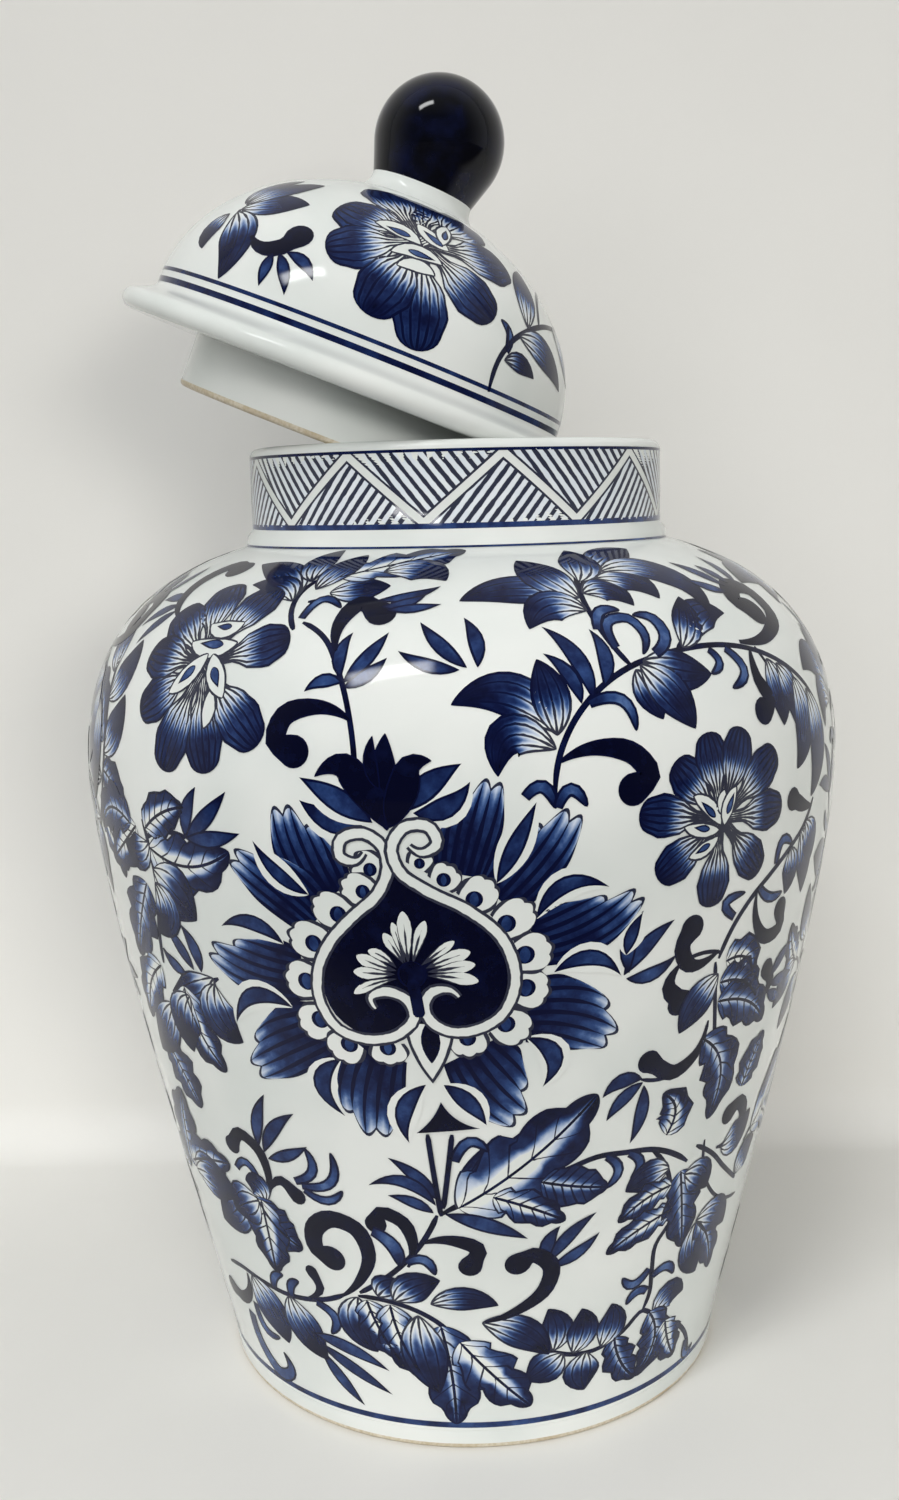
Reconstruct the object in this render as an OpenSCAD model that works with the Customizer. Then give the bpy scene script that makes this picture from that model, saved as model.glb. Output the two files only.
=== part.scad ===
// Ginger jar with a loose domed lid, stored with the lid leaning on the mouth.
// Origin: centre of the foot on the surface that the jar stands on. +Z is the jar's axis.
// Seen from the front (-Y), the lid leans towards +X.

/* [Jar] */
// Height from the surface to the top of the mouth
jar_h = 228; // [215:1:240]
// Largest radius of the body
belly_r = 92; // [88:1:96]
// Height of the largest radius
belly_z = 153; // [145:1:158]
// Radius of the foot at the surface
foot_r = 63; // [60:0.5:66]
// Height of the foot ring, which is also how far the floor is raised
foot_h = 5; // [4:0.5:8]
// Width of the foot ring's contact face
foot_w = 10; // [8:0.5:14]
// Outer radius of the neck
neck_r = 50; // [49:0.5:52]
// Height of the seam between the shoulder and the neck
neck_z = 205; // [200:1:210]
// Thickness of the body's wall and floor
wall = 5; // [4:0.5:6]
// Thickness of the neck's wall
neck_wall = 4.5; // [3.5:0.5:5]
// Rounding of the mouth's edge
lip_r = 2; // [1:0.25:2]

/* [Lid] */
// Radius of the brim
brim_r = 58; // [57:0.5:60]
// Thickness of the brim at its edge
brim_t = 5; // [4:0.5:6]
// Radius of the dome where it rises from the brim
dome_r = 51.2; // [50:0.1:52]
// Height of the dome's foot above the underside of the brim
dome_foot = 8.1; // [7:0.1:9]
// Height of the half ellipse that is the dome's outline
dome_h = 40; // [38:0.5:42]
// Thickness of the dome's wall
dome_wall = 4.5; // [4:0.5:6]
// Outer radius of the locating flange
flange_r = 39; // [38:0.5:40]
// Depth of the locating flange below the brim
flange_h = 12.4; // [10:0.1:14]
// Thickness of the locating flange
flange_t = 4; // [3:0.5:5]

/* [Knob] */
// Radius of the knob
knob_r = 15.5; // [14.5:0.1:16]
// Radius of the stub that carries the knob
stub_r = 12.4; // [11.5:0.1:13]
// Height of the knob's centre above the dome's foot
knob_c = 54; // [53:0.1:56]
// Half angle of the knob's taper towards the stub, in degrees
knob_taper = 19; // [15:1:22]

/* [Lid at rest] */
// Where the dome's foot is, at rest
lid_pos = [-22.4, 1.3, 248.6];
// How far the lid leans to the right, in degrees
lean = 22.2; // [21.8:0.1:22.6]
// How far the lid nods to the front, in degrees
nod = 1.3; // [1:0.1:1.6]

/* [Hidden] */
$fn = 144;
porcelain = "#e6e8e4";
biscuit = "#cdbf9f";
navy = "#12141f";
ARC_STEPS = 12;
CURVE_STEPS = 28;
// How far the body's outline leans out where it leaves the foot ring
foot_lean = 1.2;
// Corner radius of the foot ring and of the flange's lower edge
soft_edge = 1;
// Reach of the curves' handles along the wall below and above the belly
low_handle = 33;
high_handle = 39;
// The shoulder's handle at the neck: its length, and its slope in degrees
neck_handle = 15;
neck_slope = 18;
// The shoulder meets the neck this far outside the neck's wall
root_out = 1.5;
// Height and width of the white moulding at the neck's foot
moulding_h = 4;
moulding_w = 1.2;
// Radius of the brim's rounded edge, and how far up that round goes, in degrees
brim_edge = brim_t / 2;
brim_turn = 65;
// Thickness of the brim inside the flange
brim_floor = 4.5;
// Height of the knob's foot, where a stub of this radius stands on the dome
stub_foot_r = 13.2;
stub_foot = ellipse_h(stub_foot_r, dome_r, dome_h);

// Height of an ellipse with half axes a and b, at radius r
function ellipse_h(r, a, b) = b * sqrt(1 - (r / a) * (r / a));

// Points of an arc about c, with half axes a and b, from angle s to angle e
function arc(c, a, b, s, e, n = ARC_STEPS) =
    [for (i = [0:n]) let (t = s + (e - s) * i / n) c + [a * cos(t), b * sin(t)]];

// Points of a cubic Bezier curve with the four control points p
function bezier(p, n = CURVE_STEPS) = [for (i = [0:n]) let (t = i / n, u = 1 - t)
    u * u * u * p[0] + 3 * u * u * t * p[1] + 3 * u * t * t * p[2] + t * t * t * p[3]];

// Points of a list without its first one, where two curves share it
function tail(p) = [for (i = [1:len(p) - 1]) p[i]];
function reversed(p) = [for (i = [len(p) - 1:-1:0]) p[i]];

// Outline of the body's wall, set in by d, from height z0 up to the neck's seam.
// It is a curve up to the belly and a second one over the shoulder.
function wall_line(d, z0, z1) = concat(
    bezier([[foot_r + 0.6 - d, z0], [foot_r + 0.6 + foot_lean - d, z0 + 10],
            [belly_r - d, belly_z - low_handle], [belly_r - d, belly_z]]),
    tail(bezier([[belly_r - d, belly_z], [belly_r - d, belly_z + high_handle - d],
                 [neck_r + root_out - d + neck_handle * cos(neck_slope), z1 - neck_handle * sin(neck_slope)],
                 [neck_r + root_out - d, z1]])));

// Shell of the body with its floor, from the foot ring to the neck's seam
module jar_body() {
    mouth_r = neck_r - neck_wall;
    inner = [for (p = wall_line(wall, foot_h + wall, neck_z - wall)) p];
    color(porcelain) rotate_extrude() polygon(concat(
        [[0, foot_h]],
        wall_line(0, foot_h, neck_z),
        [[mouth_r, neck_z], [mouth_r, neck_z - wall]],
        tail(reversed(inner)),
        [[0, foot_h + wall]]));
}

// Upright neck with a rounded lip, and a low moulding round its foot
module neck_ring() {
    mouth_r = neck_r - neck_wall;
    lip = jar_h - lip_r;
    color(porcelain) rotate_extrude() polygon(concat(
        [[mouth_r, neck_z], [neck_r + root_out, neck_z]],
        [[neck_r + moulding_w, neck_z + 0.6 * moulding_h], [neck_r, neck_z + moulding_h]],
        arc([neck_r - lip_r, lip], lip_r, lip_r, 0, 90),
        arc([mouth_r + lip_r, lip], lip_r, lip_r, 90, 180)));
}

// Ring that the jar stands on, with its contact face left unglazed
module foot_ring() {
    inner_r = foot_r - foot_w;
    color(biscuit) rotate_extrude() polygon(concat(
        [[inner_r, foot_h]],
        arc([inner_r + soft_edge, soft_edge], soft_edge, soft_edge, 180, 270, 4),
        arc([foot_r - soft_edge, soft_edge], soft_edge, soft_edge, 270, 360, 4),
        [[foot_r + 0.6, foot_h]]));
}

// Puts the lid, drawn upright with its dome's foot at height 0, where it leans at rest
module leaning() {
    translate(lid_pos) rotate([nod, 0, 0]) rotate([0, lean, 0]) children();
}

// Dome with its brim. The brim's round edge sweeps up to the dome in a hollow curve.
module lid_dome() {
    inner_r = flange_r - flange_t;
    under = -dome_foot;
    cavity_r = dome_r - dome_wall;
    edge = [brim_r - brim_edge, under + brim_edge];
    turn = edge + brim_edge * [cos(brim_turn), sin(brim_turn)];
    // Angle round the ellipse at which the knob's stub begins
    top = acos(stub_foot_r / dome_r);
    color(porcelain) leaning() rotate_extrude() polygon(concat(
        [[inner_r, under]],
        arc(edge, brim_edge, brim_edge, -90, brim_turn),
        tail(bezier([turn, turn + [-2, 0.9], [dome_r + 0.2, -1.6], [dome_r, 0]], 8)),
        tail(arc([0, 0], dome_r, dome_h, 0, top, CURVE_STEPS)),
        [[0, stub_foot]],
        arc([0, 0], cavity_r, dome_h - dome_wall, 90, 0, CURVE_STEPS),
        [[cavity_r - 2.5, under + brim_floor], [inner_r, under + brim_floor]]));
}

// Flange under the lid that drops into the mouth and keeps the lid in place
module lid_flange() {
    inner_r = flange_r - flange_t;
    top = -dome_foot;
    foot = top - flange_h;
    color(porcelain) leaning() rotate_extrude() polygon(concat(
        [[inner_r, top]],
        arc([inner_r + soft_edge, foot + soft_edge], soft_edge, soft_edge, 180, 270, 4),
        arc([flange_r - soft_edge, foot + soft_edge], soft_edge, soft_edge, 270, 360, 4),
        [[flange_r, top]]));
}

// Solid knob: a stub, a taper that widens upwards, and a round top
module lid_knob() {
    // The taper touches the round top where the top's slope is the same
    wide = [knob_r * cos(knob_taper), knob_c - knob_r * sin(knob_taper)];
    stub_top = wide.y - (wide.x - stub_r) / tan(knob_taper);
    color(navy) leaning() rotate_extrude() polygon(concat(
        [[0, stub_foot], [stub_foot_r, stub_foot], [stub_r, stub_foot + 1.6], [stub_r, stub_top]],
        arc([0, knob_c], knob_r, knob_r, -knob_taper, 90, 24)));
}

jar_body();
neck_ring();
foot_ring();
lid_dome();
lid_flange();
lid_knob();
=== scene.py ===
import math

import bpy
import numpy as np
from mathutils import Matrix, Vector


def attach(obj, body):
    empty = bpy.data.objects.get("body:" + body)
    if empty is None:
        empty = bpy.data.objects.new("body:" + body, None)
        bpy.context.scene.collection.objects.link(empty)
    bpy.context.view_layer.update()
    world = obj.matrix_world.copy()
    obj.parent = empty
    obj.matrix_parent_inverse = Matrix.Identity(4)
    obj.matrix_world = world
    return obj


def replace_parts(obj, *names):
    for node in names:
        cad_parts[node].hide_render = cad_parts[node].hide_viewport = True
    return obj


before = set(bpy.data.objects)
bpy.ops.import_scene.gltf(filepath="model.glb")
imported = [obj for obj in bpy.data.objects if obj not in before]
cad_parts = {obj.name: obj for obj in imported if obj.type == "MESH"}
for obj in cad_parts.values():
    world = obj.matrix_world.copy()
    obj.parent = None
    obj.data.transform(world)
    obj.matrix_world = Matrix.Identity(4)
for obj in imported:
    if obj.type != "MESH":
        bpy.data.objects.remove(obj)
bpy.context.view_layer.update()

MM = 0.001      # shapes are worked out in mm, and new_piece puts them in metres


# ---------------------------------------------------------------- outlines

def bezier(p0, p1, p2, p3, steps=40):
    """Cubic Bezier curve: u^3 p0 + 3u^2 t p1 + 3u t^2 p2 + t^3 p3, with u = 1 - t."""
    t = np.linspace(0, 1, steps + 1)[:, None]
    p0, p1, p2, p3 = (np.array(p, float) for p in (p0, p1, p2, p3))
    return (1 - t)**3 * p0 + 3 * (1 - t)**2 * t * p1 + 3 * (1 - t) * t**2 * p2 + t**3 * p3


def arc(centre, a, b, start, end, steps=16):
    """Points centre + (a cos, b sin) of an angle that goes from start to end, in degrees."""
    turn = np.radians(np.linspace(start, end, steps + 1))
    return np.array(centre, float) + np.stack([a * np.cos(turn), b * np.sin(turn)], -1)


def joined(*parts):
    """One outline from several runs of (radius, height) points, without repeated points."""
    run = np.vstack([np.atleast_2d(np.array(p, float)) for p in parts])
    keep = np.ones(len(run), bool)
    keep[1:] = np.hypot(*(run[1:] - run[:-1]).T) > 1e-4
    run[np.abs(run) < 1e-9] = 0
    return run[keep]


# Radii and heights in mm, as in the part's source. Angles are in degrees.
FOOT_R, FOOT_H = 63, 5                                   # standing ring
WALL_R, WALL_T, FLOOR_Z, SHOULDER_Z = 63.6, 5, 10, 200   # wall's radius at the foot, thickness, inside's ends
BELLY_R, BELLY_Z = 92, 153
NECK_R, NECK_Z, MOUTH_R, LIP_R, LIP_Z = 50, 205, 45.5, 2, 226
DOME_R, DOME_H, INNER_R, INNER_H, INNER_Z = 51.2, 40, 46.7, 35.5, -3.6
BRIM_AT, BRIM_ROLL, BRIM_END, BRIM_UNDER = (55.5, -5.6), 2.5, 65, -8.1
FLANGE_R, FLANGE_BORE, FLANGE_Z = 39, 35, -19.5          # its end is rolled to 1 mm about FLANGE_Z
STUB_FOOT_R, STUB_FOOT_H, STUB_R = 13.2, 38.65, 12.4
KNOB_R, KNOB_Z, KNOB_TAPER = 15.5, 54, math.radians(19)
SHOULDER_PULL, SHOULDER_FALL = 15, math.radians(18)      # length and fall of the curve's handle at the neck
LID_AT, LEAN, NOD = (-22.4, 1.3, 248.6), 22.2, 1.3       # the lid at rest


def wall(inset, low, high):
    """The body's wall from height low to high, set in by inset: one curve up to the belly, one over the shoulder."""
    belly, top = BELLY_R - inset, NECK_R + 1.5 - inset
    handle = (top + SHOULDER_PULL * math.cos(SHOULDER_FALL), high - SHOULDER_PULL * math.sin(SHOULDER_FALL))
    return joined(bezier((WALL_R - inset, low), (64.8 - inset, low + 10), (belly, 120), (belly, BELLY_Z), 90),
                  bezier((belly, BELLY_Z), (belly, 192 - inset), handle, (top, high), 80))


OUTER_WALL = wall(0, FOOT_H, NECK_Z)
MOULDING = [(51.5, NECK_Z), (51.2, 207.4), (50, 209)]
BODY = joined([(0, FOOT_H)], OUTER_WALL, [(MOUTH_R, NECK_Z), (MOUTH_R, SHOULDER_Z)],
              wall(WALL_T, FLOOR_Z, SHOULDER_Z)[::-1], [(0, FLOOR_Z)])
NECK = joined([(MOUTH_R, NECK_Z)], MOULDING, [(NECK_R, 214), (NECK_R, 220)], arc((48, LIP_Z), LIP_R, LIP_R, 0, 90),
              arc((47.5, LIP_Z), LIP_R, LIP_R, 90, 180), [(MOUTH_R, 215)])
FOOT = joined([(53, FOOT_H)], arc((54, 1), 1, 1, 180, 270, 6), arc((62, 1), 1, 1, 270, 360, 6), [(WALL_R, FOOT_H)])
BRIM_TURN = arc(BRIM_AT, BRIM_ROLL, BRIM_ROLL, BRIM_END, BRIM_END, 1)[0]
DOME_TOP = math.degrees(math.acos(STUB_FOOT_R / DOME_R))
DOME = joined([(FLANGE_BORE, BRIM_UNDER)], arc(BRIM_AT, BRIM_ROLL, BRIM_ROLL, -90, BRIM_END, 24),
              bezier(BRIM_TURN, BRIM_TURN + [-2, 0.9], (51.4, -1.6), (DOME_R, 0), 14),
              arc((0, 0), DOME_R, DOME_H, 0, DOME_TOP, 90), [(0, STUB_FOOT_H)])
DOME_SHELL = joined([(0, INNER_H)], arc((0, 0), INNER_R, INNER_H, 90, 0, 50),
                    [(44.2, INNER_Z), (FLANGE_BORE, INNER_Z)], DOME)
FLANGE = joined([(FLANGE_BORE, BRIM_UNDER)], arc((36, FLANGE_Z), 1, 1, 180, 270, 6),
                arc((38, FLANGE_Z), 1, 1, 270, 360, 6), [(FLANGE_R, BRIM_UNDER)])
KNOB_EDGE = (KNOB_R * math.cos(KNOB_TAPER), KNOB_Z - KNOB_R * math.sin(KNOB_TAPER))
GLAZE_LINE = KNOB_EDGE[1] - (KNOB_EDGE[0] - STUB_R) / math.tan(KNOB_TAPER)
KNOB = joined([(0, GLAZE_LINE), (STUB_R, GLAZE_LINE)],
              arc((0, KNOB_Z), KNOB_R, KNOB_R, -math.degrees(KNOB_TAPER), 90, 60), [(0, KNOB_Z + KNOB_R)])
STUB = joined([(0, STUB_FOOT_H)], bezier((STUB_FOOT_R + 1.6, STUB_FOOT_H - 0.6), (STUB_FOOT_R, STUB_FOOT_H + 0.6),
                                         (STUB_R, STUB_FOOT_H + 1.6), (STUB_R, GLAZE_LINE), 24), [(0, GLAZE_LINE)])
# the foot's glaze outside, and the flange's end where the glaze was wiped off
FOOT_GLAZE = joined([(63.15, 1.4), (63.7, 5.0), (63.4, 5.0), (62.9, 1.4)])
FLANGE_EDGE = joined([(34.93, -19.2)], arc((36, FLANGE_Z), 1.07, 1.07, 180, 270, 6),
                     arc((38, FLANGE_Z), 1.07, 1.07, 270, 360, 6),
                     [(39.07, -19.2), (38.9, -19.2), (38.9, -20), (35.1, -20), (35.1, -19.2)])


def upright(points):
    """Jar points stay where they are."""
    return points


def leaning(points):
    """Lid points, drawn upright with the dome's foot at height 0, leaned about Y, nodded about X and moved to rest."""
    a, b = math.radians(LEAN), math.radians(NOD)
    about_y = np.array([[math.cos(a), 0, math.sin(a)], [0, 1, 0], [-math.sin(a), 0, math.cos(a)]])
    about_x = np.array([[1, 0, 0], [0, math.cos(b), -math.sin(b)], [0, math.sin(b), math.cos(b)]])
    return points @ (about_x @ about_y).T + np.array(LID_AT)


def turn_only(points, place):
    """Directions turned as place turns points, without its move."""
    return place(points) - place(np.zeros((1, 3)))


# ---------------------------------------------------------------- meshes

def new_piece(name, points, faces, body, slot, *materials):
    """A mesh object with its place in its mesh, in metres, that rides on a body and takes the given materials. slot is
    not used.
    """
    mesh = bpy.data.meshes.new(name)
    mesh.from_pydata((points * MM).tolist(), [], faces.tolist() if hasattr(faces, "tolist") else faces)
    mesh.polygons.foreach_set("use_smooth", np.ones(len(mesh.polygons), bool))
    for material in materials:
        mesh.materials.append(material)
    piece = bpy.data.objects.new(name, mesh)
    bpy.context.scene.collection.objects.link(piece)
    if body:
        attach(piece, body)
    return piece


def turned(name, outline, place, body, slot, material, around=360):
    """Surface of revolution of a closed (r, z) outline: x = r sin a, y = -r cos a. An outline whose ends are on the
    axis has one pole point at each."""
    poles = outline[0, 0] == 0 and outline[-1, 0] == 0
    rings = outline[1:-1] if poles else outline
    a = np.linspace(0, 2 * np.pi, around, endpoint=False)
    r, z = rings[:, :1], rings[:, 1:]
    n = len(rings)
    points = np.stack([r * np.sin(a), -r * np.cos(a), np.broadcast_to(z, (n, around))], -1).reshape(-1, 3)
    i, j = np.meshgrid(np.arange(n if not poles else n - 1), np.arange(around), indexing="ij")
    up, on = (i + 1) % n, (j + 1) % around
    faces = np.stack([i * around + j, i * around + on, up * around + on, up * around + j], -1).reshape(-1, 4).tolist()
    if poles:
        low, high = len(points), len(points) + 1
        points = np.vstack([points, [(0, 0, outline[0, 1]), (0, 0, outline[-1, 1])]])
        last = (n - 1) * around
        faces += [[(k + 1) % around, k, low] for k in range(around)]
        faces += [[last + k, last + (k + 1) % around, high] for k in range(around)]
    piece = new_piece(name, place(points), faces, body, slot, material)
    piece.data.set_sharp_from_angle(angle=math.radians(40))
    return piece


class Chart:
    """The outside of a turned wall as a flat map that keeps angles: across is the angle round the axis, up is the
    integral of ds / r. A length on the wall is the length on the map times r. Brush strokes are drawn on it with
    points (degrees, mm along the wall)."""

    def __init__(self, outline, place, body):
        self.place, self.body = place, body
        step = np.hypot(*(outline[1:] - outline[:-1]).T)
        self.r, self.z = outline.T
        self.s = np.concatenate([[0], np.cumsum(step)])
        self.up = np.concatenate([[0], np.cumsum(step / ((outline[1:, 0] + outline[:-1, 0]) / 2))])
        slope = np.gradient(outline, self.s, axis=0)
        self.out_r, self.out_z = slope[:, 1], -slope[:, 0]

    def along_at(self, height):
        """How far along the wall a height is, in mm."""
        return float(np.interp(height, self.z, self.s))

    def flat(self, points):
        """Map points for (degrees, mm along the wall)."""
        points = np.array(points, float)
        return np.stack([np.radians(points[:, 0]), np.interp(points[:, 1], self.s, self.up)], -1)

    def radius(self, flat):
        """The wall's radius at map points, in mm."""
        return np.interp(flat[..., 1], self.up, self.r)

    def length(self, flat):
        """The length in mm of a line of map points: each step times the mean radius of its ends."""
        size = np.hypot(*(flat[1:] - flat[:-1]).T)
        return float(np.sum(size * (self.radius(flat[1:]) + self.radius(flat[:-1])) / 2))

    def lift(self, flat, height):
        """Points on the wall, and their outward directions, raised by height mm."""
        a, up = flat[..., 0], flat[..., 1]
        r, z = np.interp(up, self.up, self.r), np.interp(up, self.up, self.z)
        out_r, out_z = np.interp(up, self.up, self.out_r), np.interp(up, self.up, self.out_z)
        size = np.hypot(out_r, out_z)
        out_r, out_z = out_r / size, out_z / size
        r, z = r + out_r * height, z + out_z * height
        points = np.stack([r * np.sin(a), -r * np.cos(a), z], -1)
        out = np.stack([out_r * np.sin(a), -out_r * np.cos(a), out_z], -1)
        return self.place(points.reshape(-1, 3)), turn_only(out.reshape(-1, 3), self.place)


JAR = Chart(joined([(FOOT_R, 0)], OUTER_WALL, MOULDING, [(NECK_R, LIP_Z)]), upright, "jar")
LID = Chart(joined(arc((0, 0), DOME_R, DOME_H, 0, DOME_TOP, 160)), leaning, "lid")


# ---------------------------------------------------------------- brush strokes

def curve(points, t):
    """Smooth curve through the points: cubic pieces whose slopes are the gradient over chord length, of second order at
    the ends too. t runs from 0 to 1 along it."""
    if len(points) == 2:
        return points[0] + (points[1] - points[0]) * t[..., None]
    along = np.concatenate([[0], np.cumsum(np.hypot(*(points[1:] - points[:-1]).T))])
    slope = np.gradient(points, along, axis=0, edge_order=2)
    u = t * along[-1]
    i = np.clip(np.searchsorted(along, u, side="right") - 1, 0, len(points) - 2)
    gap = (along[i + 1] - along[i])[..., None]
    x = (u - along[i])[..., None] / gap
    return ((2 * x**3 - 3 * x**2 + 1) * points[i] + (x**3 - 2 * x**2 + x) * gap * slope[i]
            + (3 * x**2 - 2 * x**3) * points[i + 1] + (x**3 - x**2) * gap * slope[i + 1])


def pointed(t, low=0.9):
    """Half width of a leaf: a sine that is widest at the middle, or nearer the base when low is under 1."""
    return np.sin(np.pi * t**low)**0.8


def serrated(t):
    """Half width of a lobed leaf: a sine times a soft saw that swells over 3/4 of each lobe and then falls, so that the
    lobes point to the tip."""
    x = np.mod(3.2 * t + 0.3, 1)
    lobe = np.sin(np.pi / 2 * np.where(x < 0.78, x / 0.78, (1 - x) / 0.22))
    return np.sin(np.pi * t**0.8)**0.6 * (0.66 + 0.34 * lobe)


def tusk(t):
    """Half width of a hook: open at the base, widest past the middle, then in to a point."""
    return np.sqrt(1 - t) * (0.5 + 0.9 * t) / 0.68


def spoon(t):
    """Half width of a peony's petal: a narrow claw, then a round blade with a slight double wave at its rim."""
    claw = 0.30 + 0.70 * np.sin(np.pi / 2 * np.clip((t - 0.25) / 0.40, 0, 1))**2
    return claw * np.sqrt(1 - np.clip((t - 0.72) / 0.28, 0, 1)**2.4) * (1 + 0.05 * np.cos(26 * t))


def even(t):
    """Half width of a line: even, with its ends drawn in."""
    return np.minimum(1, np.minimum(0.5 + 9 * t, 0.5 + 9 * (1 - t)))


def teardrop(t):
    """Half width of a drop: a point at the start and round at the end."""
    return np.sin(np.pi * t**1.6)**0.6


def ball(t):
    """Half width of a round dot."""
    return np.sqrt(np.maximum(0, 1 - (2 * t - 1)**2))


# kind: (side profile, wash from base to tip, half thickness of the veins from base to tip in mm, vein lanes on each
# side (under -1: how many veins leave the midrib aslant), outline in mm)
PLAIN = (0,)
KINDS = {
    "leaf": (pointed, (0.0, 0.02, 0.08, 0.50, 0.80, 0.84, 0.88, 0.92, 0.96),
             (0.30, 0.28, 0.26, 0.24, 0.20, 0.18, 0.14, 0.10, 0.10), 2, 0.6),
    "lobed": (serrated, (0.0, 0.70, 0.82, 0.88, 0.95), (0.28, 0.28, 0.26, 0.20, 0.10), -6, 0.6),
    "deep": (serrated, (0.6, 0.82, 0.80, 0.82, 0.92), (0.30, 0.30, 0.26, 0.20, 0.10), -7, 0.6),
    "rib": (even, (0.94,), PLAIN, 0, 0.0),
    "blade": (lambda t: pointed(t, 0.85)**1.2, (0.90, 0.74, 0.70, 0.76, 0.92), PLAIN, 0, 0.5),
    "slip": (lambda t: pointed(t, 0.85)**1.3, (0.90, 0.76, 0.72, 0.78, 0.92), PLAIN, 0, 0.5),
    "halo": (lambda t: pointed(t, 0.95), (0.0,), PLAIN, 0, 0.0),
    "horn": (tusk, (0.85, 0.62, 0.58, 0.66, 0.90), PLAIN, 0, 0.55),
    "comma": (None, (1.0,), PLAIN, 0, 0.3),
    "dark": (pointed, (1.0,), PLAIN, 0, 0.3),
    "stem": (even, (0.94,), PLAIN, 0, 0.2),
    "band": (even, (0.0,), PLAIN, 0, 0.62),
    "white": (lambda t: np.sin(np.pi * t)**0.6, (0.0,), PLAIN, 0, 0.55),
    "finger": (teardrop, (0.0,), (0.3, 0.3, 0.25, 0.0, 0.0), 1, 0.0),
    "drop": (teardrop, (0.80, 0.68, 0.62, 0.62, 0.62), PLAIN, 0, 0.35),
    "dot": (ball, (0.72,), PLAIN, 0, 0.85),
    "flower": (spoon, (0.0, 0.0, 0.0, 0.0, 0.0, 0.15, 0.78, 0.80, 0.80, 0.88),
               (0.22, 0.24, 0.26, 0.28, 0.28, 0.26, 0.24, 0.26, 0.30, 0.30), 3, 0.6),
    "pip": (ball, (0.98,), PLAIN, 0, 0.5),
    # between two side curves
    "field": (None, (1.0,), PLAIN, 0, 0.3),
    "paper": (None, (0.0,), PLAIN, 0, 0.7),
    "lean_left": (None, (0.06,), (0.48,), -1, 0.8),
    "lean_right": (None, (0.06,), (0.48,), 1, 0.8),
    # fans
    "petal": (None, (0.90, 0.84, 0.80, 0.77, 0.62, 0.08), (0.55, 0.52, 0.48, 0.40, 0.20, 0.0), 3, 0.8),
    "scallop": (None, (0.0,), PLAIN, 0, 0.75),
}
FANS = {
    # kind: (share of the full width at the base, how far the corners fall back and how steeply, depth of the notches
    # between its lobes, how far across the longest ray is)
    "petal": (0.78, 0.30, 1.7, 0.12, 0.35),
    "scallop": (0.80, 0.34, 2.2, 0.08, 0.0),
}
ROW_STEP = 1.1                          # mm between a stroke's rows of points
HALO_WIDER, RIB_WIDTH = 3.2, 0.7        # mm
HATCH_STEP, HATCH_SLANT = 2.05, (0.62, 0.78)
LAYER_STEP, STROKE_STEP = 0.03, 0.007   # mm that a layer lies above the last one, and a stroke above its neighbour


def read_off(values, t):
    """Values given at even steps from base to tip, read at t."""
    if len(values) == 1:
        return np.full(np.shape(t), float(values[0]))
    return np.interp(t, np.linspace(0, 1, len(values)), values)


def outwards(flat, *values):
    """The grid, with its columns turned round if it would face inwards."""
    middle = flat[len(flat) // 2]
    ahead, across = flat[-1, 0] - flat[0, 0], middle[-1] - middle[0]
    if ahead[0] * across[1] - ahead[1] * across[0] < 0:
        return (flat[:, ::-1], *[v[:, ::-1] for v in values])
    return (flat, *values)


def graded(kind, half, q, t, length, end=None):
    """What the glaze reads at each point: (mm to the nearest edge, vein lane, lane width in mm) and
    (wash, half a vein's thickness in mm, outline in mm)."""
    _, wash, vein, lanes, line = KINDS[kind]
    edge = (1 - np.abs(q)) * half
    if end is not None:
        edge = np.minimum(edge, end)
    shape = edge.shape
    lane, width, share = q * max(lanes, 1) + 0.5, half / max(lanes, 1), 1.0
    if lanes < -1:
        # veins that leave the midrib aslant, and a heart left white along it
        lane, width = -lanes * t - 1.4 * np.abs(q) + 0.5, np.float64(length / -lanes)
        core = (0.26 if kind == "deep" else 0.52) * (1 - t)**0.6
        share = np.clip((np.abs(q) - core + 0.08) / 0.22, 0, 1)
    elif lanes > 1:
        # the brush ran further in between the veins than along them
        t = t + 0.07 * np.cos(2 * np.pi * lane)
    read = np.stack([edge, np.broadcast_to(lane, shape), np.broadcast_to(width, shape)], -1)
    paint = np.stack([np.broadcast_to(read_off(wash, t) * share, shape), np.broadcast_to(read_off(vein, t), shape),
                      np.full(shape, line)], -1)
    return read, paint


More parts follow.
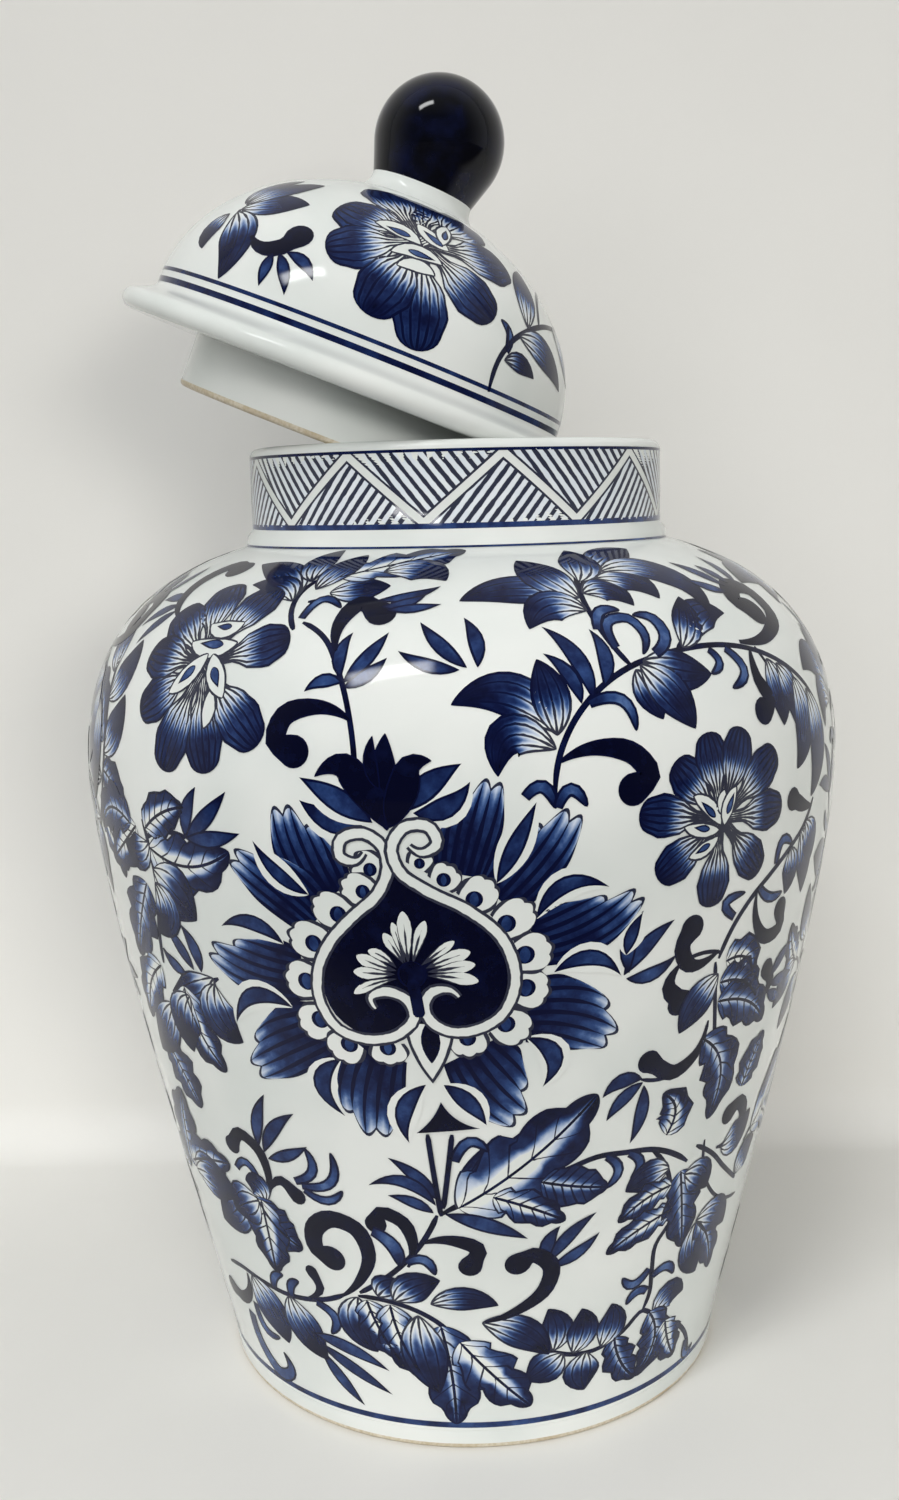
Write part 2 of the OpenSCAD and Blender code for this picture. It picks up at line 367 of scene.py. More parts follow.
def stroke(chart, kind, width, points):
    """A centre line through the points, with sides at plus and minus half the width times the kind's side profile.
    A comma has a round head, and a tail that thins towards its start."""
    flat = chart.flat(points)
    length, half = chart.length(flat), width / 2
    if kind == "comma":
        end = flat[-1] - flat[-2]
        flat = np.vstack([flat, flat[-1] + end / np.hypot(*end) * half / chart.radius(flat[-1])])
        length += half
    if kind in ("dot", "pip"):
        up = np.array([[0, -half], [0, half]]) / chart.radius(flat[0])
        flat, length = flat[0] + up, width
    rows = int(np.clip(length / ROW_STEP, 10, 70))
    t = (1 - np.cos(np.pi * np.arange(rows + 1) / rows)) / 2
    line = curve(flat, t)
    tangent = np.gradient(line, t + 1e-9 * np.arange(len(t)), axis=0)
    tangent /= np.hypot(*tangent.T)[:, None] + 1e-12
    if kind == "comma":
        back = (1 - t) * length
        head = half * np.sqrt(np.maximum(0, 1 - ((back - half) / half)**2))
        tail = half * np.interp(t, (0, 0.15, 0.45, 0.7, 1), (0.12, 0.34, 0.66, 0.72, 0.70))
        side = np.where(back < half, head, np.maximum(head, tail))
    else:
        side = half * KINDS[kind][0](t)
    q = np.linspace(-1, 1, 25 if KINDS[kind][3] > 1 else 9 if width > 5 else 5)
    across = (side / chart.radius(line))[:, None] * q
    grid = line[:, None] + np.stack([-tangent[:, 1], tangent[:, 0]], -1)[:, None] * across[..., None]
    return outwards(grid, *graded(kind, side[:, None], q[None], t[:, None], length))


def fan(chart, kind, width, points):
    """A petal: rays along a centre line, wider towards the tip. Each ray ends where the tip's lobes are:
    length(q) = 1 - fall |q - lean|^steep - notch (1 - |cos 1.5 pi q|), three round lobes for q from -1 to 1 across.
    A width under 0 leans the other way."""
    base, fall, steep, notch, lean = FANS[kind]
    flat = chart.flat(points)
    length = chart.length(flat)
    q = np.linspace(-1, 1, 25)
    t = np.linspace(0, 1, int(np.clip(length / ROW_STEP, 8, 24)) + 1)[:, None]
    reach = 1 - fall * np.abs(q - math.copysign(lean, width))**steep - notch * (1 - np.abs(np.cos(1.5 * np.pi * q)))
    part = t * reach
    line = curve(flat, part)
    ahead = curve(flat, np.minimum(part + 0.02, 1.02)) - line
    ahead /= np.hypot(ahead[..., 0], ahead[..., 1])[..., None] + 1e-12
    swell = base + (1 - base) * np.sin(np.pi / 2 * np.minimum(1, t / 0.66))
    side = abs(width) / 2 * swell * (1 - 0.16 * np.maximum(0, (t - 0.66) / 0.34)**2)
    across = side * q / chart.radius(line)
    grid = line + np.stack([-ahead[..., 1], ahead[..., 0]], -1) * across[..., None]
    return outwards(grid, *graded(kind, side, q[None], t, length, (1 - t) * length * reach))


def sheet(chart, kind, left, right):
    """The surface between two side curves that start at the base and end at the tip. A leaning kind is hatched straight
    across in one direction: lane = (slant up - slant across) / step."""
    left, right = chart.flat(left), chart.flat(right)
    t = np.linspace(0, 1, 25)
    a, b = curve(left, t), curve(right, t)
    q = np.linspace(-1, 1, 11)
    grid = a[:, None] * ((1 - q) / 2)[:, None] + b[:, None] * ((1 + q) / 2)[:, None]
    half = np.hypot(*(a - b).T)[:, None] / 2 * chart.radius(a)[:, None]
    read, paint = graded(kind, half, q[None], t[:, None], 14.0)
    if kind.startswith("lean"):
        mm = grid * NECK_R
        up, across = HATCH_SLANT
        read[..., 1] = (mm[..., 1] * up + KINDS[kind][3] * -across * mm[..., 0]) / HATCH_STEP
        read[..., 2] = HATCH_STEP
    return outwards(grid, read, paint)


def numbers(text):
    """Points written as pairs of numbers, parted by |."""
    return [tuple(float(n) for n in pair.split()) for pair in text.split("|")]


def read_strokes(text):
    """One stroke a line: its kind, its width in mm, then | and its points, each an angle in degrees and mm along the
    wall. / parts a sheet's two sides."""
    for row in text.strip().splitlines():
        head, _, rest = row.strip().partition("|")
        kind, _, width = head.strip().partition(" ")
        yield kind, width, rest


def layered(layers):
    """All the strokes of a group as (level, order, kind, width, points). A slip leaf has a white halo half a layer
    below it, and a lobed leaf has its midrib half a layer above."""
    for level, text in enumerate(layers):
        for order, (kind, width, rest) in enumerate(read_strokes(text)):
            if kind == "slip":
                yield level - 0.5, order, "halo", float(width) + HALO_WIDER, rest
            yield level, order, kind, width, rest
            if kind in ("lobed", "deep"):
                yield level + 0.5, order, "rib", RIB_WIDTH, rest


def brushed(chart, kind, width, rest):
    """A stroke's grid and what the glaze reads on it, made in the way of its kind."""
    if "/" in rest:
        return sheet(chart, kind, *(numbers(side) for side in rest.split("/")))
    return (fan if kind in FANS else stroke)(chart, kind, float(width), numbers(rest))


def under_glaze(name, chart, place, faces, read, paint, out):
    """A painted piece: its points carry what the glaze reads, and the wall's own directions are its normals."""
    piece = new_piece(name, place, faces, chart.body, "white_glaze", COBALT)
    for label, values in (("stroke", read), ("paint", paint)):
        vectors = piece.data.attributes.new(label, "FLOAT_VECTOR", "POINT").data
        vectors.foreach_set("vector", values.astype(np.float32).ravel())
    piece.data.normals_split_custom_set_from_vertices(out.tolist())
    return piece


def painted(name, chart, layers, turn=0.0, raised=0.05, squeeze=1.0):
    """One mesh of brush strokes that lie on the chart's wall, turned round it by turn degrees. squeeze narrows the
    group's angles."""
    points, outs, reads, paints, faces, count = [], [], [], [], [], 0
    for level, order, kind, width, rest in layered(layers):
        grid, read, paint = brushed(chart, kind, width, rest)
        grid = grid * np.array([squeeze, 1]) + np.array([math.radians(turn), 0])
        place, out = chart.lift(grid, raised + LAYER_STEP * level + STROKE_STEP * (order % 4))
        rows, columns = grid.shape[:2]
        i, j = np.meshgrid(np.arange(rows - 1), np.arange(columns - 1), indexing="ij")
        corner = count + i * columns + j
        faces.append(np.stack([corner, corner + columns, corner + columns + 1, corner + 1], -1).reshape(-1, 4))
        for kept, new in ((points, place), (outs, out), (reads, read), (paints, paint)):
            kept.append(new.reshape(-1, 3))
        count += rows * columns
    return under_glaze(name, chart, *(np.vstack(part) for part in (points, faces, reads, paints, outs)))


def ring(name, chart, s, width, wash):
    """A painted line round the wall at s mm along it."""
    a = np.linspace(0, 2 * np.pi, 361)
    q = np.linspace(-1, 1, 3)
    up = np.interp(s + q * width / 2, chart.s, chart.up)
    place, out = chart.lift(np.stack(np.broadcast_arrays(a[:-1, None], up[None]), -1), LAYER_STEP)
    n = len(a) - 1
    i, j = np.meshgrid(np.arange(n), np.arange(2), indexing="ij")
    k = (i + 1) % n
    faces = np.stack([i * 3 + j, k * 3 + j, k * 3 + j + 1, i * 3 + j + 1], -1).reshape(-1, 4)
    edge = np.broadcast_to(width / 2 * (1 - np.abs(q)) + 1, (n, 3))
    read = np.stack([edge, np.zeros((n, 3)), np.ones((n, 3))], -1)
    paint = np.stack([np.full((n, 3), wash), np.zeros((n, 3)), np.zeros((n, 3))], -1)
    return under_glaze(name, chart, place, faces, read, paint, out)


# ---------------------------------------------------------------- materials

def srgb(code):
    """A colour's sRGB hex code as linear RGBA."""
    c = np.array([int(code[i:i + 2], 16) for i in (1, 3, 5)]) / 255
    return (*np.where(c <= 0.04045, c / 12.92, ((c + 0.055) / 1.055)**2.4).tolist(), 1.0)


def add(tree, kind, sockets=(), **settings):
    """A node with its settings. sockets holds (input, value or another node's output)."""
    node = tree.nodes.new(kind)
    for key, value in settings.items():
        setattr(node, key, value)
    for key, value in sockets:
        if isinstance(value, bpy.types.NodeSocket):
            tree.links.new(value, node.inputs[key])
        else:
            node.inputs[key].default_value = value
    return node


def new_material(name):
    """A material with an empty tree, its Principled shader and its Object coordinates."""
    material = bpy.data.materials.new(name)
    material.use_nodes = True
    tree = material.node_tree
    tree.nodes.clear()
    shader = add(tree, "ShaderNodeBsdfPrincipled")
    out = add(tree, "ShaderNodeOutputMaterial")
    tree.links.new(shader.outputs[0], out.inputs[0])
    return material, tree, shader, add(tree, "ShaderNodeTexCoord").outputs["Object"]


def per_mm(size):
    """A texture's scale for a pattern that repeats about every size mm."""
    return 1 / (size * MM)


def mixed(tree, factor, a, b):
    """Colour a towards b by the factor."""
    return add(tree, "ShaderNodeMix", ((0, factor), (6, a), (7, b)), data_type="RGBA").outputs[2]


def ranged(tree, value, low, high, to_low=0.0, to_high=1.0):
    """The value between low and high, carried smoothly to between to_low and to_high."""
    sockets = (("Value", value), ("From Min", low), ("From Max", high), ("To Min", to_low), ("To Max", to_high))
    return add(tree, "ShaderNodeMapRange", sockets, interpolation_type="SMOOTHSTEP").outputs[0]


def worked(tree, operation, a, b=0.0, c=0.0):
    """One step of arithmetic on numbers or outputs."""
    return add(tree, "ShaderNodeMath", ((0, a), (1, b), (2, c)), operation=operation).outputs[0]


def glaze_colour(tree, place):
    """The white body seen through clear glaze: a cool white that pools a little greyer in soft clouds 35 mm wide, with
    a rare iron speck."""
    clouds = add(tree, "ShaderNodeTexNoise", (("Vector", place), ("Scale", per_mm(35)), ("Detail", 2.0)))
    white = mixed(tree, ranged(tree, clouds.outputs[0], 0.35, 0.7), srgb("#E6E9E6"), srgb("#DADFDC"))
    specks = add(tree, "ShaderNodeTexVoronoi", (("Vector", place), ("Scale", per_mm(34)), ("Randomness", 1.0)))
    return mixed(tree, ranged(tree, specks.outputs["Distance"], 0.009, 0.004), white, srgb("#8A8378"))


def glaze_skin(tree, place, shader, roughness=0.06):
    """Fired clear glaze: very smooth and glossy, with a faint 14 mm ripple that bends reflections a little."""
    ripple = add(tree, "ShaderNodeTexNoise", (("Vector", place), ("Scale", per_mm(14)), ("Detail", 1.0)))
    bump = add(tree, "ShaderNodeBump", (("Strength", 0.10), ("Distance", 0.25 * MM), ("Height", ripple.outputs[0])))
    tree.links.new(bump.outputs[0], shader.inputs["Normal"])
    shader.inputs["Roughness"].default_value = roughness
    shader.inputs["IOR"].default_value = 1.48
    shader.inputs["Specular IOR Level"].default_value = 0.26


def porcelain():
    """White porcelain under clear glaze, slip cast and glost fired. It gives the smooth cool white and the
    sharp highlights."""
    material, tree, shader, place = new_material("porcelain_clear_glazed")
    tree.links.new(glaze_colour(tree, place), shader.inputs["Base Color"])
    glaze_skin(tree, place, shader)
    return material


WASHES = ((0.0, "#E4E8E8"), (0.12, "#C9D3E2"), (0.3, "#97A9C8"), (0.46, "#55709F"),
          (0.6, "#2E477A"), (0.75, "#1A2B57"), (0.88, "#0D153A"), (1.0, "#05071F"))
LINE_BLUE = "#080D2E"
LINE_SOFT = 0.06    # mm over which a drawn line's side fades


def cobalt():
    """Cobalt blue brushed on the biscuit under the same clear glaze. The wash runs from white to mid blue to near black
    as it lies thicker, is mottled where the brush dragged, and is drawn round and veined with a fine dark line."""
    material, tree, shader, place = new_material("cobalt_underglaze_brushed")
    labels = (add(tree, "ShaderNodeAttribute", attribute_name=label).outputs["Vector"] for label in ("stroke", "paint"))
    (edge, lane, lane_mm), (wash, vein_mm, outline) = (
        add(tree, "ShaderNodeSeparateXYZ", ((0, label),)).outputs for label in labels)

    # brush drag: 5 mm clouds and finer grain shift the wash, most where it is neither bare nor full
    drag = add(tree, "ShaderNodeTexNoise", (("Vector", place), ("Scale", per_mm(5)), ("Detail", 4.0),
                                            ("Roughness", 0.6)))
    shift = worked(tree, "MULTIPLY", worked(tree, "MULTIPLY_ADD", drag.outputs[0], 0.55, -0.275), 4.0)
    free = worked(tree, "MULTIPLY", wash, worked(tree, "SUBTRACT", 1.15, wash))
    ramp = add(tree, "ShaderNodeValToRGB", ((0, worked(tree, "MULTIPLY_ADD", free, shift, wash)),))
    elements = ramp.color_ramp.elements
    while len(elements) < len(WASHES):
        elements.new(0.5)
    for element, (at, code) in zip(elements, WASHES):
        element.position, element.color = at, srgb(code)
    colour = mixed(tree, ranged(tree, wash, 0.0, 0.08), glaze_colour(tree, place), ramp.outputs[0])

    # line work: the outline and the veins, their edge unsteady by a quarter of a mm
    hand = add(tree, "ShaderNodeTexNoise", (("Vector", place), ("Scale", per_mm(2.5)), ("Detail", 2.0)))
    unsteady = worked(tree, "MULTIPLY_ADD", hand.outputs[0], 0.5, -0.25)
    off = worked(tree, "ABSOLUTE", worked(tree, "SUBTRACT", worked(tree, "FRACT", lane), 0.5))
    lines = []
    for away, thick in ((edge, outline), (worked(tree, "MULTIPLY", off, lane_mm), vein_mm)):
        outside = worked(tree, "SUBTRACT", worked(tree, "ADD", away, unsteady), thick)
        lines.append(worked(tree, "MULTIPLY", ranged(tree, outside, LINE_SOFT, -LINE_SOFT),
                            worked(tree, "LESS_THAN", 0.01, thick)))
    line = worked(tree, "MULTIPLY", worked(tree, "MAXIMUM", *lines), 0.96)
    tree.links.new(mixed(tree, line, colour, srgb(LINE_BLUE)), shader.inputs["Base Color"])
    glaze_skin(tree, place, shader)
    return material


def mirror_black():
    """Thick blue-black glaze poured over the knob. It is nearly black, with a breath of blue where it runs thin."""
    material, tree, shader, place = new_material("blue_black_glaze_poured")
    runs = add(tree, "ShaderNodeTexNoise", (("Vector", place), ("Scale", per_mm(9)), ("Detail", 3.0)))
    black = mixed(tree, ranged(tree, runs.outputs[0], 0.4, 0.75), srgb("#07080F"), srgb("#0F1430"))
    tree.links.new(black, shader.inputs["Base Color"])
    glaze_skin(tree, place, shader, 0.05)
    return material


def biscuit():
    """Bare fired clay where the glaze was wiped off to stand in the kiln. It is matt and warm, with 0.8 mm grit."""
    material, tree, shader, place = new_material("biscuit_clay_wiped")
    grit = add(tree, "ShaderNodeTexNoise", (("Vector", place), ("Scale", per_mm(0.8)), ("Detail", 4.0)))
    stain = add(tree, "ShaderNodeTexNoise", (("Vector", place), ("Scale", per_mm(12)), ("Detail", 2.0)))
    clay = mixed(tree, ranged(tree, grit.outputs[0], 0.35, 0.65), srgb("#D5CDBC"), srgb("#C4B89F"))
    stained = mixed(tree, ranged(tree, stain.outputs[0], 0.45, 0.8), clay, srgb("#B5A385"))
    tree.links.new(stained, shader.inputs["Base Color"])
    bump = add(tree, "ShaderNodeBump", (("Strength", 0.5), ("Distance", 0.1 * MM), ("Height", grit.outputs[0])))
    tree.links.new(bump.outputs[0], shader.inputs["Normal"])
    shader.inputs["Roughness"].default_value = 0.85
    return material


def card_with_painted_shade():
    """Matt card of the sweep that the jar stands on, rolled. It is pale round the jar, with the faint clouding of its
    pulp, and has painted shade that runs to a deep grey 0.25 m in front, so that the glaze mirrors a darker floor. It
    is see-through from behind, so that the jar's back can be looked at."""
    material, tree, shader, place = new_material("matt_card_painted_front_shade")
    pulp = add(tree, "ShaderNodeTexNoise", (("Vector", place), ("Scale", per_mm(60)), ("Detail", 3.0)))
    pale = mixed(tree, pulp.outputs[0], srgb("#ECEBE7"), srgb("#E7E6E2"))
    # painted shade: the card darkens to a deep grey towards the front, from y -0.09 m to -0.25 m
    near = ranged(tree, add(tree, "ShaderNodeSeparateXYZ", ((0, place),)).outputs["Y"], -0.25, -0.09)
    tree.links.new(mixed(tree, near, srgb("#3E3C39"), pale), shader.inputs["Base Color"])
    shader.inputs["Roughness"].default_value = 0.7
    shader.inputs["Specular IOR Level"].default_value = 0.3
    behind = add(tree, "ShaderNodeNewGeometry").outputs["Backfacing"]
    tree.links.new(worked(tree, "SUBTRACT", 1.0, behind), shader.inputs["Alpha"])
    return material


PORCELAIN, COBALT, KNOB_GLAZE, BISCUIT, CARD = porcelain(), cobalt(), mirror_black(), biscuit(), card_with_painted_shade()


# ---------------------------------------------------------------- the painting
# Each group is a tuple of layers, and each layer a text of strokes, as read_strokes reads them. Angles are from the
# front, positive to the right.

def petals(brush, heart, tips):
    """Rows for petals that all start at one heart."""
    return "\n".join(f"{brush} | {heart} | {tip}" for tip in tips.split(" | "))


MEDALLION = (
    # petals behind the scallops
    """petal 14 | -17 141 | -20 150 | -22 160.5
petal 14 | -19 136 | -25 144 | -31 150
petal 15 | -22 123 | -30 124 | -37.5 128
petal 16 | -20 111 | -27 106 | -34.5 99
petal 17 | -12.5 107 | -15 96 | -15.5 84.5
petal -17 | 0.5 107 | 4 99 | 9 91
petal -17 | 7.5 115 | 15 114 | 22 108
petal -14 | 8.5 131 | 15.5 134 | 22.5 141.5
petal -14 | 4 141 | 9 150 | 13 159.5
petal -12.5 | -0.5 146 | 1 156 | 3 166""",
    # slim leaves between them
    """slip 3.2 | -20 141 | -24.5 145.5 | -27.5 151.5
slip 3.7 | -24.5 129.5 | -29.5 133.5 | -34.5 131.5
slip 4 | -24.5 115 | -30.5 116.5 | -35 108.5
slip 4.2 | -18 104 | -21.5 98 | -18.5 90
slip 4 | -6 99 | -9.5 92 | -9 84.5
slip 4 | -3.5 99 | 0 94.5 | 2.5 89
slip 4.2 | 8 109.5 | 12 104.5 | 10.5 97.5
slip 3.7 | 11.5 124 | 16.5 126.5 | 21 121.5
slip 3.2 | 21.5 126 | 22 130 | 23.5 135
slip 3.7 | 9 136 | 13 143 | 18.5 141.5
slip 3.7 | 4 144 | 6.5 152 | 9 160
slip 4.9 | -11 156.5 | -15 160.5 | -20.5 165
slip 4.9 | -12 155.5 | -16 156.5 | -20.5 160.5
slip 5.2 | -7.5 158.5 | -4 164 | 0 168
slip 4.5 | -6 158.5 | -1.5 160 | 1 164.5""",
    # scallops all round the band, from its edge outwards
    """scallop 7.7 | -10.6 146.5 | -14.3 149
scallop 7.9 | -11.6 141.5 | -15.8 144.5
scallop 8.8 | -14.8 136 | -19.8 140.5
scallop 9.5 | -18.4 130 | -23.8 132.5
scallop 9.7 | -20.3 121.5 | -25.3 122.5
scallop 9.5 | -19.3 113.5 | -24 110.5
scallop 9.5 | -16 109 | -19 103.8
scallop 8.8 | -11 108.5 | -10.8 103
scallop 8.8 | 0 111.6 | 0.3 105
scallop 9.5 | 4.2 114 | 8.6 109.5
scallop 9.7 | 6.8 121 | 11.3 119.6
scallop 9.7 | 6.7 128 | 11.5 130
scallop 9.1 | 4.5 134.5 | 8.8 139.5
scallop 8.6 | 0.5 139.8 | 3.8 145
scallop 7.4 | -3 144 | -1 148.2
scallop 5.9 | -5.8 147.5 | -4.4 151.5""",
    # a dot at the root of each scallop
    """dot 2.8 | -11.6 147
dot 3 | -12.7 142.3
dot 3.6 | -16.2 137.2
dot 3.8 | -20 130.4
dot 4 | -21.7 121.6
dot 4 | -20.4 113
dot 3.8 | -16.5 107.8
dot 3.5 | -11 107.5
dot 3.5 | 0 110
dot 3.8 | 5.2 113
dot 4 | 7.8 121
dot 4 | 7.6 128.4
dot 3.8 | 5.2 135.4
dot 3.5 | 1.2 140.8
dot 2.9 | -2.5 145
dot 2.2 | -5.4 148.4""",
    # the dark field, and the white tongue and stem below it
    """field | -9 148 | -11.5 142 | -15 136.5 | -18.3 130 | -19.4 122 | -18 114.5 | -14 110.3 | -9.5 111 | \
-6.8 113.5 / -9 148 | -5 142.5 | -0.5 138.5 | 4 132.5 | 5.6 126 | 5.2 118.5 | 3 113.4 | 0 112.3 | -3.5 113.2 | \
-6.2 113.5
paper | -8.6 113.6 | -7.8 107.5 | -5 99.4 / -1.6 113 | -2.4 107 | -5 99.4
dark 4 | -5.2 114 | -5 109 | -5 104.2""",
    # the white band round the field, curled in at both ends
    """band 3.1 | -12.2 116.6 | -12.8 119 | -10.6 120.6 | -8 119 | -7 115.2 | -9 111.2 | -13.5 109.3 | \
-17.8 111.2 | -20 117 | -19.8 124.5 | -17.7 131 | -14.2 137 | -10.8 142 | -9.4 147.5 | -10 152 | -12.4 154.4 | \
-15.2 152.8 | -15.4 149.6 | -13.4 148.6 | -12.2 150.4
band 3.1 | -1 119.6 | -2.2 121.2 | -4.6 120.6 | -5.6 117.4 | -4.6 113.6 | -2.4 111.7 | 1.2 112 | 4.4 114.8 | \
6.2 120.4 | 6.1 127 | 4.1 133.4 | 0.1 138.8 | -4.6 142.8 | -8 147 | -8.8 151.6 | -7 155.8 | -4 155.6 | \
-3.2 152.4 | -5 150.6 | -6.6 152""",
    # the little white flower in the dark field
    """finger 2.4 | -8 127 | -9.4 131 | -10.4 133.6
finger 2 | -7.8 127 | -8.6 132.6 | -9.2 136
finger 3 | -7.4 127 | -7.6 133 | -7.8 138.4
finger 2.4 | -6.8 127 | -6 132 | -5 136.4
finger 2.4 | -9 126 | -11.4 129 | -12.6 129.6
finger 3 | -9 125.4 | -12 126.8 | -14.2 128.4
finger 2.8 | -9.2 124.6 | -12 124.6 | -14.8 124.8
finger 2.2 | -9 123.6 | -11.6 122.6 | -15 119.8
finger 2 | -5.8 126.6 | -3.4 129.6 | -1.4 132
finger 3 | -5.2 126 | -2.4 128 | 0.6 129.6
finger 2.8 | -5 125.2 | -2 126 | 1.2 126.8
finger 2.8 | -5 124.4 | -1.6 124 | 1.6 123""",
    # the white flower's heart and stalk
    """pip 6 | -7 124.6
stem 2.5 | -7 123.5 | -6.6 119 | -6.3 115""",
    # the dark crown above and the bell below
    """dark 6 | -9.2 155 | -9.6 164 | -9.4 174
dark 6.5 | -9.3 155.5 | -12.5 164 | -14.8 167.6 | -18.4 165.2
dark 6.5 | -9.1 155.5 | -7.2 163 | -6 168 | -3.6 168.6
dark 3 | -10 163 | -11.2 168 | -11 173.5
field | -4 95 | -5.6 90.5 | -7.8 87.2 / -4 95 | -2 91 | 1.5 88.4
stem 1.2 | -6.2 87 | -5.8 80 | -4.8 66
stem 1.2 | -2.6 87 | -3.2 80 | -4.4 68""",
)

PEONY_LEFT = (
    petals("flower 10.6", "-38.2 187",
           "-44.8 209.2 | -32.8 208.6 | -25 194.2 | -26.6 170.8 | -34.7 164.2 | -43.1 163.6 | -50.1 175 | "
           "-52.7 188.2 | -52 200.2"),
    """white 5.5 | -43.4 191.8 | -38.8 190.6 | -33.8 192.4
white 5.3 | -41.4 196.6 | -37.6 195.4 | -34.5 197.6
white 5.5 | -44.1 179.8 | -41.2 184 | -38.6 189.4
white 5.5 | -33.3 179.8 | -35.7 184.6 | -37.6 189.4
white 4.3 | -35.8 173.2 | -35.4 177.4 | -35.9 181.6""",
    """drop 2.4 | -41.4 191.6 | -36.4 191.6
drop 1.9 | -39.8 196.1 | -36.6 196.1
drop 2.4 | -42.6 182 | -40.2 186.3
drop 2.4 | -34.5 182 | -36.6 186.3""",
)

PEONY_RIGHT = (
    petals("flower 9", "35 152.5",
           "27.7 165.5 | 33.3 170.6 | 39.7 170.6 | 46.5 164.4 | 47.9 151.9 | 43.8 138.5 | 34.5 133.3 | "
           "25.3 141.8 | 22.3 155.9"),
    """white 4.1 | 30.3 158.2 | 33 155.4 | 35.2 150.9
white 4.1 | 37.9 158.8 | 36.4 155.2 | 35.7 150.7
white 3.8 | 28.9 152 | 31.8 150.7 | 35 150.2
white 3.8 | 29.8 145.3 | 32.3 146.4 | 34.8 148.9
white 3.4 | 35.7 158.6 | 35.2 155.9 | 35.2 153.2""",
    """drop 1.7 | 31.6 156.8 | 34.1 153
drop 1.7 | 37.4 157.5 | 36.1 153.2
drop 1.6 | 30.5 151.6 | 33.2 150.7
drop 1.6 | 30.9 145.9 | 33.4 147.5""",
)

UPPER_LEFT = (
    """stem 1.3 | -25 196 | -27 201 | -27.6 206 | -26 212
stem 1.2 | -24 198 | -19.5 194 | -16.5 187 | -14 176 | -13.2 167
stem 1.2 | -25 204 | -20 206 | -16 210
comma 7.2 | -52 198 | -56.5 204 | -57.5 211 | -54 217.5 | -50.5 216
blade 3.2 | -55.5 203 | -59.5 203.5 | -63.5 202
blade 3.2 | -55 201 | -59.5 198.5 | -63 194
blade 3.2 | -54 199.5 | -57.5 195 | -60 189.5
stem 1.3 | -66 146 | -62 156 | -61 168 | -63 180 | -65 192
leaf 10 | -61.5 164 | -57.5 170 | -56 178
deep 11 | -62 166 | -66 176 | -72 182
leaf 10 | -62.5 176 | -58.5 183 | -58 191
leaf 10 | -63.5 182 | -67 190 | -71 197
deep 12 | -61.5 160 | -57 157 | -54 151
leaf 10 | -62 158 | -67 160 | -74 168
lobed 12 | -64 150 | -59 144 | -57 136
leaf 10 | -65 148 | -70 150 | -76 157""",
    """leaf 8.8 | -27.5 206 | -34 214 | -45.5 218.5
leaf 7.7 | -28 204 | -33 209.5 | -40 209.5
leaf 7.7 | -27 211 | -29.5 219 | -27.5 227
leaf 7.7 | -25 208 | -23 216 | -20 224
leaf 8.8 | -22 207 | -16 208.5 | -11.5 209.5
lobed 13 | -22 213 | -12 219 | 2 226
leaf 9.9 | -14 215 | -6 216 | -2 211
blade 3.2 | -15.5 184 | -18 184.5 | -20.8 182
blade 3.2 | -15.8 185 | -16.6 190 | -15.3 195.5
blade 3.4 | -15.5 184 | -12.6 189.5 | -10 195.5
blade 3.2 | -15.4 183 | -12.5 185.5 | -9.8 189.5""",
    """comma 6.5 | -17.3 191 | -17.8 198 | -15.3 203.8 | -11.8 200.6
blade 3 | -13 204.5 | -8 205.6 | -2.8 209
blade 3 | -12 202.5 | -8 203.6 | -5 206.5
blade 2.8 | -11 201.5 | -7.5 201.8 | -2.6 203
comma 6.7 | -14 176.5 | -18.5 179 | -23.4 176.5 | -24 172 | -21.4 170
horn 2.5 | -24.5 199 | -22 205 | -18.5 202
blade 3.4 | 1 187 | -2.5 192 | -5.6 198
blade 3.4 | 2.4 187 | 2.4 193 | 0.8 199
blade 3.2 | 0 186.6 | -4 187.6 | -8.4 191""",
)

